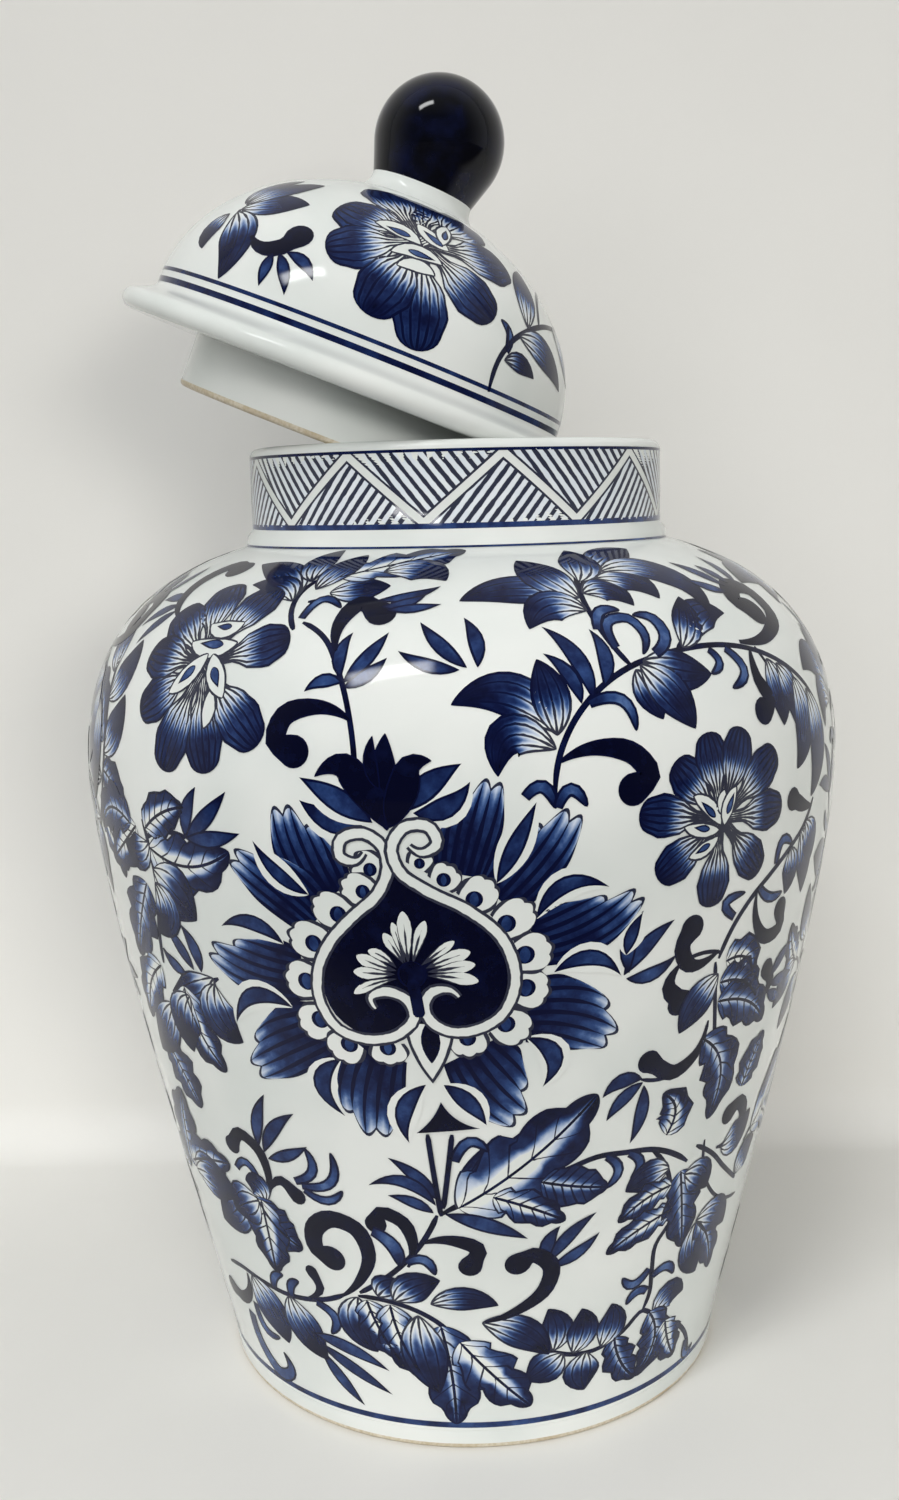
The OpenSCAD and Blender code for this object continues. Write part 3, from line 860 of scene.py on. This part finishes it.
UPPER_RIGHT = (
    """stem 1.3 | 11.4 160 | 12 168 | 14 174.5 | 18 181 | 23.5 185.6 | 28 187.4 | 34 188.6 | 40 188.6 | \
46 187 | 52 183.6 | 56.5 179.5 | 61 173
stem 1.3 | 23.8 185.6 | 21.4 192 | 20.3 198.5 | 20.3 205 | 21.6 211 | 24 216
stem 1 | 21 207 | 26 213 | 32 216.5
stem 1 | 24.4 210.5 | 28 208 | 31 208
stem 1 | 32 188.6 | 36 193.5 | 39 198
stem 1 | 48 187 | 50 180""",
    """leaf 9.9 | 19.8 203.5 | 10 207.5 | 0.2 203.8
leaf 10.5 | 19.6 203.5 | 15.5 211.5 | 12 219.2
leaf 9.4 | 20 199.6 | 14.5 201.8 | 10.2 195.4
leaf 9.4 | 21.4 209 | 24.5 216.5 | 24.6 223.8
leaf 9.4 | 25 212.5 | 33 219.5 | 41.8 223
leaf 8.2 | 20.6 204.8 | 25.2 206 | 28.4 200.2
leaf 9.9 | 25 210 | 31.5 209 | 34.2 201.8
leaf 9.9 | 27 212.5 | 37 213.5 | 43 205.5 | 42.2 196
leaf 8.8 | 36 190 | 40.5 197 | 45.8 196
leaf 7.7 | 33 188.8 | 36.5 195 | 38.5 202
leaf 9.4 | 25.6 186.6 | 31 184 | 36.5 182.4
leaf 9.4 | 25 185.8 | 29 179 | 31.6 171.6
leaf 7.2 | 24.2 185 | 25.5 179.5 | 26.8 174.2
leaf 9.4 | 12.2 173 | 6 181.5 | -1.2 179.4
leaf 8.2 | 12 172.6 | 11.6 181 | 10.4 188.4
leaf 8.8 | 11.8 170 | 5.5 172.5 | 4.4 165.2
blade 4 | 17.3 179 | 16.4 187 | 12 196
blade 3.4 | 15.6 178.6 | 14.8 184 | 11.4 189.6
blade 3.6 | 19 181.6 | 20.2 188 | 19 194.8""",
    """horn 2.9 | 22.2 190 | 22.6 196.6 | 26 197 | 27.5 193 | 26 188
horn 3.3 | 28 188 | 31 192.6 | 30.4 196.4 | 27 197.6
horn 2.9 | 20.4 194.5 | 22.4 199.6 | 25.4 199.2
horn 2.9 | 16.6 178.6 | 21.4 178.6 | 22.6 172.4
horn 2.5 | 37.6 187.8 | 38.8 184.8 | 36.4 182.4
horn 2.9 | 41 187.6 | 43.2 182 | 39.6 178.8
comma 6 | 46.5 186.5 | 45.6 180 | 47 174.5 | 45 173
comma 6.7 | 12.2 167.6 | 17 169.8 | 22.4 167.4 | 24 163.2 | 21.6 161
leaf 8.8 | 49.6 184 | 50 177 | 49.4 169
leaf 8.8 | 51.5 182.5 | 53.5 175 | 53 167.6
leaf 9.4 | 55 179 | 55.5 168.5 | 52 159
leaf 9.9 | 58.5 175.5 | 60 163 | 57 151.5
comma 7.7 | 45 188.6 | 54 189.4 | 60 194.5 | 59.6 201.6 | 54.6 203.4 | 51.8 199 | 54.6 195.6
blade 3.2 | 52 202 | 48 204 | 44 208
blade 3.4 | 53.4 203.6 | 50.5 209 | 46.6 214.6
blade 3.4 | 55.6 204.4 | 54.6 208.6 | 53 212.4
blade 3.2 | 58 204 | 60 209 | 60.2 216""",
    """horn 2.9 | 7.6 161 | 9.5 163 | 11.4 158.4
horn 2.9 | 11.6 158.6 | 13.2 162 | 15.4 158.4""",
)

LEFT_SIDE = (
    """stem 1.3 | -48.6 152 | -48 149 | -47.4 143 | -47.4 135 | -49 127 | -50 118
stem 1.2 | -48 148 | -43 150.5 | -39 150
stem 1.2 | -49 122 | -45 116.8 | -37 118.6
stem 1 | -45 116 | -48 106 | -52 96""",
    """lobed 11.4 | -48 150 | -43.5 154.5 | -39 156.5
blade 3.9 | -39 150 | -38.4 156 | -36.6 161.2
blade 3.9 | -39 150 | -35 155 | -31.4 161
blade 3.9 | -39 150 | -34 150.6 | -29.4 152.6
lobed 15.3 | -47.6 146 | -40 143.5 | -31.4 148.4
leaf 14 | -47.4 141 | -43.5 137 | -39.2 131.4
leaf 9.2 | -47.5 147 | -51 144 | -54.6 145.4
leaf 9.8 | -47.6 138 | -45.8 131 | -49 125.6
deep 15.3 | -50 137 | -54 128 | -58.6 117
lobed 13 | -51 117 | -57 110 | -61 100
leaf 11 | -50 108 | -54 101 | -60 92
deep 13 | -52 150 | -59 152 | -64 146
lobed 14 | -50.5 150 | -55 145 | -60.2 140
blade 3.9 | -40.4 119 | -41 124.5 | -43.2 129.6
blade 3.6 | -42 119 | -44.4 124 | -47.2 128.6
blade 3.4 | -44 117.5 | -46.4 118.6 | -49.2 122
leaf 11.2 | -38 118.4 | -43.5 112.5 | -49.2 111.4
lobed 14 | -45.5 114 | -44.4 105 | -39.4 95
leaf 12 | -38 117 | -38.5 110 | -34.4 104
leaf 12 | -44.5 112 | -47.6 104 | -47 97
deep 15.3 | -56 96 | -53 90 | -49.4 81.4""",
    """comma 4.7 | -37 62.6 | -35.2 70 | -36.4 76.4 | -40 79 | -42.6 75
comma 4.6 | -35.4 66 | -32.4 69.4 | -29.8 66.4
blade 3.6 | -36 77 | -35 84.5 | -32.4 91.8
blade 3.6 | -35 76 | -32 83 | -27.4 88.4
blade 3.2 | -34.4 74.6 | -30 77 | -26 80.4
horn 2.7 | -29.6 70.4 | -25.6 75 | -26.6 80
horn 2.7 | -28.4 69.6 | -22.4 72.6 | -22 80
horn 2.5 | -28 68.6 | -23.6 67 | -20.8 70.4
horn 2.5 | -43 68.6 | -40.6 71.4 | -37.2 65.6
stem 1.2 | -37.5 62 | -36 66""",
    """leaf 8.4 | -37.5 62 | -38.6 65.5 | -41.4 66
deep 14 | -39.5 62.5 | -35.5 55 | -30.8 51.6
lobed 14 | -38.4 62 | -38.6 51 | -39 41.8
leaf 12 | -39 61.6 | -43 59 | -46.8 55.6
leaf 12 | -43 60 | -48 54 | -52.8 49.8
deep 16.5 | -62 60 | -59.5 72 | -56 83.4
lobed 14 | -61 61.5 | -53 66 | -44.8 68.8
leaf 12.6 | -60 59.6 | -52 61.5 | -44.8 59.4""",
)

LOW_LEFT = (
    """stem 1.4 | -56 36 | -52 37 | -44 36.4 | -38 36 | -32 37 | -27 39 | -23.6 41.4
stem 1.3 | -5.5 66 | -8 59 | -12 52 | -17 46 | -20.6 42.6
stem 1.3 | -21 41.6 | -15 41.4 | -10 39.4 | -6 36 | -3 31 | 0 25 | 1.6 20""",
    """comma 6.6 | -24 41 | -20 46.5 | -17.8 54 | -19.6 60.6 | -24 62 | -27.8 57.6 | -27.8 52.6 | -25 51
horn 2.7 | -41 36.2 | -40 40 | -37.4 41.6
horn 2.7 | -36.4 36 | -35.6 40 | -33.6 41.4
comma 3.5 | -32 37.6 | -28.8 41.6 | -30 45.6
horn 2.9 | -30.4 36.8 | -26.6 33.4 | -28.4 28.4
leaf 12.1 | -48 36.4 | -44 29 | -40.8 20.2
leaf 10.9 | -37 36 | -35 28 | -30.4 20
blade 3.9 | -33 27 | -25 25.6 | -16.8 21
blade 3.6 | -32 24.6 | -25 20 | -16.8 14
blade 3.6 | -31.6 22.4 | -28 15.6 | -23.4 9
comma 5.2 | -49.6 36 | -51 29.6 | -55 26 | -59.6 26.6
horn 4.2 | -52.6 23 | -51.4 13 | -46 8.4 | -42.4 11 | -43.6 16.2
horn 3 | -49.6 27.4 | -47.4 20 | -43.4 20.6""",
    """blade 3.4 | -5.2 70 | -8.4 76 | -12.6 80.4
blade 3.4 | -5.6 68.6 | -10.6 74.6 | -16.2 72.8
blade 3 | -6 66.6 | -9.4 69.4 | -13.2 70.6
blade 4 | -4.2 66.4 | 2 63.6 | 9.2 59
comma 5 | -11 51.6 | -9.8 58 | -11.4 64 | -14.8 65.6 | -15.8 62.6
horn 3.8 | -16.6 60.6 | -13.2 57 | -12.4 51.6
comma 5.3 | -8.2 58.4 | -3.4 59.4 | 1 56.6 | -0.4 52.4
horn 2.9 | -11.2 52.8 | -8.4 54 | -6.4 49.8
leaf 7.9 | -17.2 42.4 | -15.4 45 | -12.6 47.6
leaf 8.5 | -14.2 41.6 | -10.6 46 | -5.6 48.4
leaf 6.7 | -7.6 41.6 | -2.4 43.4 | 4.4 41.2""",
    """leaf 11.6 | -21 41.4 | -21.4 34 | -18.6 26.2
lobed 11 | -19.4 41 | -17.6 33 | -14.4 25
lobed 11.6 | -15 40.6 | -13.4 30 | -9.6 19.8
leaf 10.9 | -10 38.4 | -9.4 27 | -7 16
deep 15.4 | -6 35.6 | -4.4 21 | -4 7
lobed 14.3 | -2.6 31 | 3 22 | 11.2 11.2
leaf 9 | 1.4 36.6 | 8 33.6 | 14.2 25.6
comma 5.8 | 2 36.8 | 8 39.6 | 12.8 45 | 13.4 51 | 10.2 54.4 | 7.6 52.4
blade 3.6 | 12.6 52.4 | 12.6 57 | 14.6 61.4
blade 3.6 | 13 52 | 16.4 58.6 | 20.8 63.4
blade 3.4 | 13.4 50.6 | 17.6 53 | 21.8 57.8
horn 2.9 | -2.4 80 | 0.4 85 | 2.8 82.2""",
)

LOW_RIGHT = (
    """stem 1.4 | -5 66 | 0 70 | 5 72 | 10 73.6 | 15 76 | 20 78 | 25 77.6 | 30 76.6 | 35 73.4 | 38.4 70
stem 1.3 | 30 76.4 | 33.4 71 | 36 62 | 37 55 | 34.4 49.4 | 34.6 42 | 35 35 | 34 31
stem 1.3 | 14 27 | 18 24.6 | 24 24 | 30 27 | 34 31 | 38 27.4 | 42 24 | 47 20 | 51 15 | 54 9
stem 1.2 | 40 73.4 | 45 69 | 50 63 | 57 56
stem 1 | 42 74 | 44 64 | 48 57 | 60 50""",
    """leaf 7.7 | -2.4 68 | 1.6 77.4 | 4.6 86.4
lobed 20 | -2 68 | 7.4 77.4 | 19 94
lobed 10 | 3.4 70.6 | 9.6 67 | 15.4 62.6
deep 12 | 11 73.6 | 16.4 71.4 | 22.4 69.6
horn 2.7 | 21.6 77.6 | 24 73 | 21.8 69.2
horn 2.7 | 25.6 77.2 | 28 73.4 | 26.4 70.2
leaf 8.8 | 34.4 70 | 30 69.6 | 25.8 67
lobed 9 | 35.6 65 | 30 63.4 | 25.2 59
lobed 9.5 | 36.8 58 | 30.4 55.8 | 23.6 51
deep 13 | 37.2 68 | 39.4 57 | 41.6 45.4
leaf 9.4 | 38.2 66.6 | 42.4 64.4 | 45.4 59.6""",
    """leaf 8.2 | 15 26.4 | 15.4 32.6 | 13.4 38.8
leaf 8.2 | 19 24.6 | 20.8 31 | 20 37.2
leaf 8.2 | 25 24.4 | 27 30.4 | 26.2 36.4
leaf 9.9 | 17 25.4 | 13.4 21.6 | 9.8 19
leaf 9.4 | 22 24.2 | 21.4 18 | 22.6 12.8
deep 10 | 28 26 | 29.6 20 | 35.2 11.2
horn 2.9 | 33.8 43 | 30.2 40 | 27.8 43
horn 2.9 | 34.2 36.6 | 32 37.6 | 29.6 34.6
horn 2.9 | 35 40.4 | 38.4 41.6 | 40.8 38.2
leaf 8.8 | 37.4 28 | 41.4 32.6 | 45.4 31
deep 12 | 36 29.6 | 39 20 | 35 11.4
lobed 11 | 41.4 24.4 | 44 17 | 47.2 11.2
horn 2.7 | 51.8 13 | 53.6 7.6 | 56.2 9.4
leaf 9.9 | 44.6 50.6 | 45.4 42 | 48.6 34.6
deep 11 | 45 50.6 | 50.4 43 | 54.2 32.6
leaf 9.9 | 44.4 51 | 51 49.6 | 56.4 44
comma 5.5 | 46 70 | 50.6 70.6 | 53.2 75.6 | 50.6 79.6 | 47.8 78
leaf 9.9 | 47.4 69.4 | 52 70 | 56 75.4
deep 12 | 50 84 | 51.6 90 | 54.2 96.4
leaf 9.9 | 56.4 57 | 59.4 62 | 63 64""",
)

RIGHT_SIDE = (
    """stem 1.4 | 37.6 120.6 | 40 128 | 43 133 | 47 137.2 | 51 141 | 55.4 145.6 | 58 151
stem 1.2 | 37 120 | 38 112 | 39.2 103 | 40 97
stem 1 | 30 121.5 | 34 123 | 37.8 122
stem 1 | 26 95.6 | 32 95 | 36 99 | 37.4 106""",
    """comma 6 | 29 116.6 | 31 112.4
comma 6 | 37.4 122.6 | 31.6 121.4 | 30.4 125.6 | 31.8 129.4
comma 6 | 30.4 121.6 | 28.8 117 | 31.4 112.4
blade 3.9 | 22.2 121.8 | 21.8 128.4 | 23.6 135.4
blade 4 | 21.4 121.4 | 24.4 127.4 | 28.6 132.2
blade 3.6 | 21.8 120.6 | 25.6 120.6 | 29.6 124.2
comma 5.3 | 44 134 | 44.8 127 | 48 122 | 52 123 | 51.2 127.6
horn 2.7 | 39.6 129.6 | 37.4 133 | 41.4 134.6
horn 2.7 | 44.4 135 | 47.6 131.4 | 51 131.6
horn 2.7 | 48 139 | 49 144 | 52.2 142
comma 5.3 | 57.4 149.4 | 54.6 150.2 | 51 152.6
leaf 7.7 | 51.6 141.6 | 52.6 136 | 51.8 130.6
leaf 8.8 | 54.4 144.6 | 57.4 137 | 58.2 128.6
leaf 8.8 | 55.8 146.2 | 58.6 141 | 59.4 134.8""",
    """lobed 12 | 39.2 119.4 | 43.4 119 | 46.4 113.6
deep 12 | 38.6 114.6 | 44 113 | 48.4 107.6
deep 13 | 38.8 110 | 46 107.4 | 52.4 100
leaf 8.8 | 38 117 | 34.6 111.6 | 31.8 104.8
comma 5.5 | 37.2 105 | 36 98.8 | 32 95.4 | 27 99.6
blade 3.9 | 26.2 95.6 | 22.8 96.2 | 19.8 92.8
blade 3.6 | 26.4 94.8 | 23.4 91.8 | 20.8 86.8
blade 3.6 | 26.6 94 | 26.8 87 | 25.4 79.8
deep 14 | 37 101.6 | 42 94 | 41.4 79.6
lobed 11 | 32.4 79.4 | 33.4 86 | 30.4 90.6
comma 5 | 48.8 105.6 | 52.4 109.6 | 50.4 113.4
blade 3.6 | 52 110.6 | 54.4 114 | 58.2 117
blade 3.4 | 52.4 108.8 | 57 108.4 | 61.2 108.4
blade 3.4 | 52 107.2 | 55.6 104.4 | 59.2 102.8""",
)

# A sprig that fills the flanks where the front has its medallion
FLANK_SPRIG = (
    """stem 1.3 | 12 92 | 8.6 102 | 8 112 | 9.6 122 | 12 131 | 11.4 141 | 7 150
stem 1 | 8.2 106 | 3.4 110 | -1 110
stem 1 | 9.4 120 | 14 123.6 | 18 123""",
    """leaf 9.4 | 8.4 104 | 4 100 | 0.4 93
lobed 11 | 3 109.6 | -1.4 114 | -4.6 121.6
leaf 9 | 2 110 | -2.4 106.6 | -6 101
leaf 9.4 | 8.4 114 | 4.4 120 | 2.6 129
leaf 9.4 | 12 129 | 7 134 | 1.6 135.6
lobed 11 | 12 133 | 16.4 137.6 | 18.6 145
leaf 9 | 14 123.6 | 17.6 128 | 21 129.6
leaf 9 | 13 122.6 | 16.4 117.6 | 19.4 110
blade 3.8 | 7 149.6 | 3.4 152.6 | -0.6 153
blade 3.8 | 7.2 150 | 5.6 156.6 | 2.6 162
blade 3.8 | 7.6 149 | 9.4 154.6 | 9.6 160.6""",
    """comma 5.4 | 9 107 | 12.6 107.6 | 14.6 103.4 | 13 99.4
horn 2.7 | 11.6 140 | 8 141.6 | 5.4 145.6
horn 2.7 | 12 136 | 8.6 127.6 | 5.6 126""",
)

# One hatched triangle hanging from the rim, one standing on the lower line, with a white strip between
NECK_UNIT = (
    """lean_left | -8 211.4 | 11.2 225.6 / -8 211.4 | -27.2 225.6
lean_right | 12 224 | -7.2 209.8 / 12 224 | 31.2 209.8""",
)

LID_PEONY = (
    petals("flower 12.6", "9.6 31",
           "-3 44 | -21 33 | -15 19 | 1.5 8 | 16 4.6 | 36 18.6 | 49 37 | 38 51 | 8 51.5 | -16 50"),
    """white 5.4 | -7 31.6 | 2 32.4 | 10 30
white 5.4 | 7 37.6 | 14 34 | 20 32
white 5 | 18 26.4 | 10 27.6 | 1.6 24.4
white 4.4 | 20 42 | 18 38 | 17.4 33
white 4.4 | 4.6 21.4 | 10.4 23.6 | 16 22.6""",
    """drop 2.2 | -3 31.8 | 6 31.4
drop 2.2 | 9.6 35.8 | 17.6 32.6
drop 2 | 15.4 27 | 6.4 26.8
drop 1.7 | 19.4 40 | 18 35.4""",
)

LID_SPRIGS = (
    """stem 1 | -51 22 | -48.6 19 | -47 16
stem 1.3 | 38 2.6 | 38.6 9.6 | 43 15.4 | 50 19.6 | 60 23 | 75 25 | 95 27
stem 1 | 41 13 | 41.4 18.6
stem 1 | 58 22.4 | 66 31 | 80 35 | 96 34
horn 2.5 | 41 12.6 | 42 17 | 38.6 19.4""",
    """leaf 8.8 | -50.6 22 | -42 26 | -29.6 29.6
leaf 9.9 | -50.6 21 | -40 13 | -38.6 4
leaf 6.6 | -53 20 | -54 14.6 | -51 9.4
leaf 7.7 | -51 23.6 | -46 33 | -38 40
leaf 6.6 | -52 24 | -55 32 | -52 40
comma 6.7 | -36.6 15.8 | -31 13.8 | -26 15.4 | -23.6 19.4
blade 3 | -27 13.4 | -26.6 9.4 | -26 5.4
blade 3 | -25.4 13.8 | -21.6 10.4 | -18.6 5.4
blade 3 | -23.6 14.6 | -18.6 14 | -13.4 10.4
leaf 8.2 | 46 17.4 | 58 16.6 | 70.6 9.6
leaf 4.8 | 40.6 10.4 | 46 11.4 | 53.4 9.4
leaf 8.2 | 50.6 20.4 | 55 30.6 | 62.6 38.6
leaf 9.9 | 72 25 | 84 17 | 96 14""",
)


# ---------------------------------------------------------------- the pieces

def make_jar():
    """Body, neck and foot of the jar, with a glazed skin round the foot's outside."""
    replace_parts(turned("jar_body_shell", BODY, upright, "jar", "white_glaze", PORCELAIN, 384), "jar_body")
    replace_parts(turned("jar_neck_collar", NECK, upright, "jar", "white_glaze", PORCELAIN, 384), "neck_ring")
    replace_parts(turned("jar_foot_rim", FOOT, upright, "jar", "biscuit", BISCUIT, 384), "foot_ring")
    turned("jar_foot_glaze", FOOT_GLAZE, upright, "jar", "white_glaze", PORCELAIN, 384)


def make_lid():
    """Dome with its brim, locating flange with a bare edge, and the knob on its white stub."""
    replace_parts(turned("lid_dome_shell", DOME_SHELL, leaning, "lid", "white_glaze", PORCELAIN, 384), "lid_dome")
    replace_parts(turned("lid_flange_wall", FLANGE, leaning, "lid", "white_glaze", PORCELAIN, 384), "lid_flange")
    turned("lid_flange_bare_edge", FLANGE_EDGE, leaning, "lid", "biscuit", BISCUIT, 384)
    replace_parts(turned("lid_knob_head", KNOB, leaning, "lid", "blue_glaze", KNOB_GLAZE, 192), "lid_knob")
    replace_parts(turned("lid_knob_stub", STUB, leaning, "lid", "white_glaze", PORCELAIN, 192), "lid_knob")


def paint_lines():
    """The lines round the foot, the neck and the lid's brim. The hatched band stands between the neck's last two."""
    for name, height, width, wash in (("line_foot", 6.6, 1.6, 0.72), ("line_neck_seam", 205.2, 0.5, 0.7),
                                      ("line_neck_low", 209.6, 1.2, 0.72), ("line_neck_high", 225.8, 0.9, 0.85)):
        ring(name, JAR, JAR.along_at(height), width, wash)
    ring("line_lid_thick", LID, 0.6, 1.5, 0.85)
    ring("line_lid_thin", LID, 3.2, 0.9, 0.8)


def paint_neck_band():
    """Nine hatched triangles hang from the upper line and nine stand on the lower one, with white strips between."""
    middle = 212    # on the neck's straight part, mm along the wall are mm of height plus a constant
    shift = JAR.along_at(middle) - middle
    units = []
    for k in range(9):
        for row in NECK_UNIT[0].splitlines():
            kind, _, rest = row.strip().partition("|")
            sides = [" | ".join(f"{a + 40 * k} {h + shift}" for a, h in numbers(side)) for side in rest.split("/")]
            units.append(f"{kind}| {sides[0]} / {sides[1]}")
    painted("neck_zigzag_band", JAR, ("\n".join(units),), raised=0.02)


# (group, its layers, mm that it stands above the glaze)
FRONT = (("medallion", MEDALLION, 0.10), ("peony_left", PEONY_LEFT, 0.12), ("peony_right", PEONY_RIGHT, 0.12),
         ("spray_upper_left", UPPER_LEFT, 0.05), ("spray_upper_right", UPPER_RIGHT, 0.05),
         ("garland_left", LEFT_SIDE, 0.06), ("scroll_low_left", LOW_LEFT, 0.05),
         ("scroll_low_right", LOW_RIGHT, 0.06), ("scroll_right", RIGHT_SIDE, 0.05))
RIGHT_HALF = ("peony_right", "spray_upper_right", "scroll_low_right", "scroll_right")
FLANK_TURNS, FLANK_SQUEEZE = (("left", -117), ("right", 61)), 0.86


def paint_jar():
    """The front composition, the same again on the back, and its right half again on each flank, drawn a little
    narrower to fit between front and back, with a sprig of its own."""
    for name, layers, raised in FRONT:
        painted(name, JAR, layers, 0, raised)
        painted(name + "_back", JAR, layers, 180, raised)
    for side, turn in FLANK_TURNS:
        for name, layers, raised in FRONT:
            if name in RIGHT_HALF:
                painted(f"{name}_side_{side}", JAR, layers, turn, raised + 0.02, FLANK_SQUEEZE)
        painted(f"sprig_side_{side}", JAR, FLANK_SPRIG, turn, 0.05, FLANK_SQUEEZE)


def paint_lid():
    """The dome's peony and sprigs, and the same again on the far side."""
    for name, layers, raised in (("lid_peony", LID_PEONY, 0.10), ("lid_sprigs", LID_SPRIGS, 0.05)):
        painted(name, LID, layers, 0, raised)
        painted(name + "_back", LID, layers, 180, raised)


def make_sweep():
    """Card sweep: flat floor, a tight quarter turn of 16 mm radius, then upright close behind the object. The profile
    of (y, z) in metres is carried sideways."""
    bend = arc((0.09, 0.016), 0.016, 0.016, -90, 0, 23)
    profile = np.vstack([[(-2.0, 0), (-0.6, 0), (-0.3, 0), (0.0, 0), (0.06, 0)], bend, [(0.106, 0.6), (0.106, 1.6)]])
    x = np.linspace(-2, 2, 21)
    points = np.stack(np.broadcast_arrays(x, profile[:, :1], profile[:, 1:]), -1)
    i, j = np.meshgrid(np.arange(len(profile) - 1), np.arange(20), indexing="ij")
    k = i * 21 + j
    faces = np.stack([k, k + 1, k + 22, k + 21], -1).reshape(-1, 4)
    new_piece("card_sweep", points.reshape(-1, 3) / MM, faces, None, None, CARD)


def make_light(name, at, aim, size, power, colour="#FFFFFF"):
    """A rectangular soft box at a point, turned to face another. It lights the glaze but isn't mirrored in it: the
    room's window is."""
    lamp = bpy.data.lights.new(name, "AREA")
    lamp.shape, (lamp.size, lamp.size_y), lamp.energy, lamp.color = "RECTANGLE", size, power, srgb(colour)[:3]
    box = bpy.data.objects.new(name, lamp)
    bpy.context.scene.collection.objects.link(box)
    box.visible_glossy = False
    box.location = at
    box.rotation_euler = (Vector(aim) - Vector(at)).to_track_quat("-Z", "Y").to_euler()


WINDOW = ((0, -0.29, 0.15), (1, -0.52, 0.025))      # (axis, middle, half width) of the window in the room's directions
WINDOW_EDGE, WINDOW_LIGHT = 0.05, 24.0


def make_room():
    """The room all round: dim behind the camera, pale to the sides and overhead, with a soft-edged window high on the
    left. It is worked out from the direction that is looked in."""
    world = bpy.data.worlds.new("pale_room")
    world.use_nodes = True
    tree = world.node_tree
    way = add(tree, "ShaderNodeSeparateXYZ", ((0, add(tree, "ShaderNodeTexCoord").outputs["Generated"]),)).outputs
    room = worked(tree, "MAXIMUM", ranged(tree, way[1], -0.75, 0.15, 0.05, 0.75),
                  ranged(tree, way[2], 0.4, 0.95, 0.0, 0.36))
    across, along_y = (
        ranged(tree, worked(tree, "ABSOLUTE", worked(tree, "SUBTRACT", way[axis], middle)), half + WINDOW_EDGE, half)
        for axis, middle, half in WINDOW)
    high = ranged(tree, way[2], 0.0, 0.2, 0.0, WINDOW_LIGHT)
    window = worked(tree, "MULTIPLY", worked(tree, "MULTIPLY", across, along_y), high)
    tree.nodes["Background"].inputs[0].default_value = srgb("#F4F5F5")
    tree.links.new(worked(tree, "ADD", room, window), tree.nodes["Background"].inputs[1])
    bpy.context.scene.world = world


EYE, YAW_PITCH_ROLL, LENS = (0, -0.3783, 0.2167), (-0.45, 9.67, -1.35), 36.27    # metres, degrees, mm


def make_camera():
    """The camera at EYE: pitch is down, yaw is to the right, and roll tips its right side up."""
    yaw, pitch, roll = (math.radians(d) for d in YAW_PITCH_ROLL)
    ahead = np.array([math.sin(yaw) * math.cos(pitch), math.cos(yaw) * math.cos(pitch), -math.sin(pitch)])
    level = np.array([math.cos(yaw), -math.sin(yaw), 0])
    above = np.cross(level, ahead)
    right = level * math.cos(roll) + above * math.sin(roll)
    up = above * math.cos(roll) - level * math.sin(roll)
    camera = bpy.data.objects.new("camera", bpy.data.cameras.new("camera"))
    bpy.context.scene.collection.objects.link(camera)
    camera.matrix_world = Matrix([[right[k], up[k], -ahead[k], EYE[k]] for k in range(3)] + [[0, 0, 0, 1]])
    camera.data.sensor_fit, camera.data.sensor_height, camera.data.lens = "VERTICAL", 36, LENS
    camera.data.clip_start = 0.01
    bpy.context.scene.camera = camera


make_jar()
make_lid()
paint_lines()
paint_neck_band()
paint_jar()
paint_lid()
make_sweep()
make_light("front_fill", (-0.4, -1.65, 0.75), (0, 0, 0.15), (1.6, 1.0), 12.0)
make_light("key_window", (0.32, -1.0, 0.36), (0, 0, 0.2), (0.25, 0.2), 3.2, "#FFFCF6")
make_room()
bpy.context.scene.view_settings.view_transform = "Standard"
make_camera()
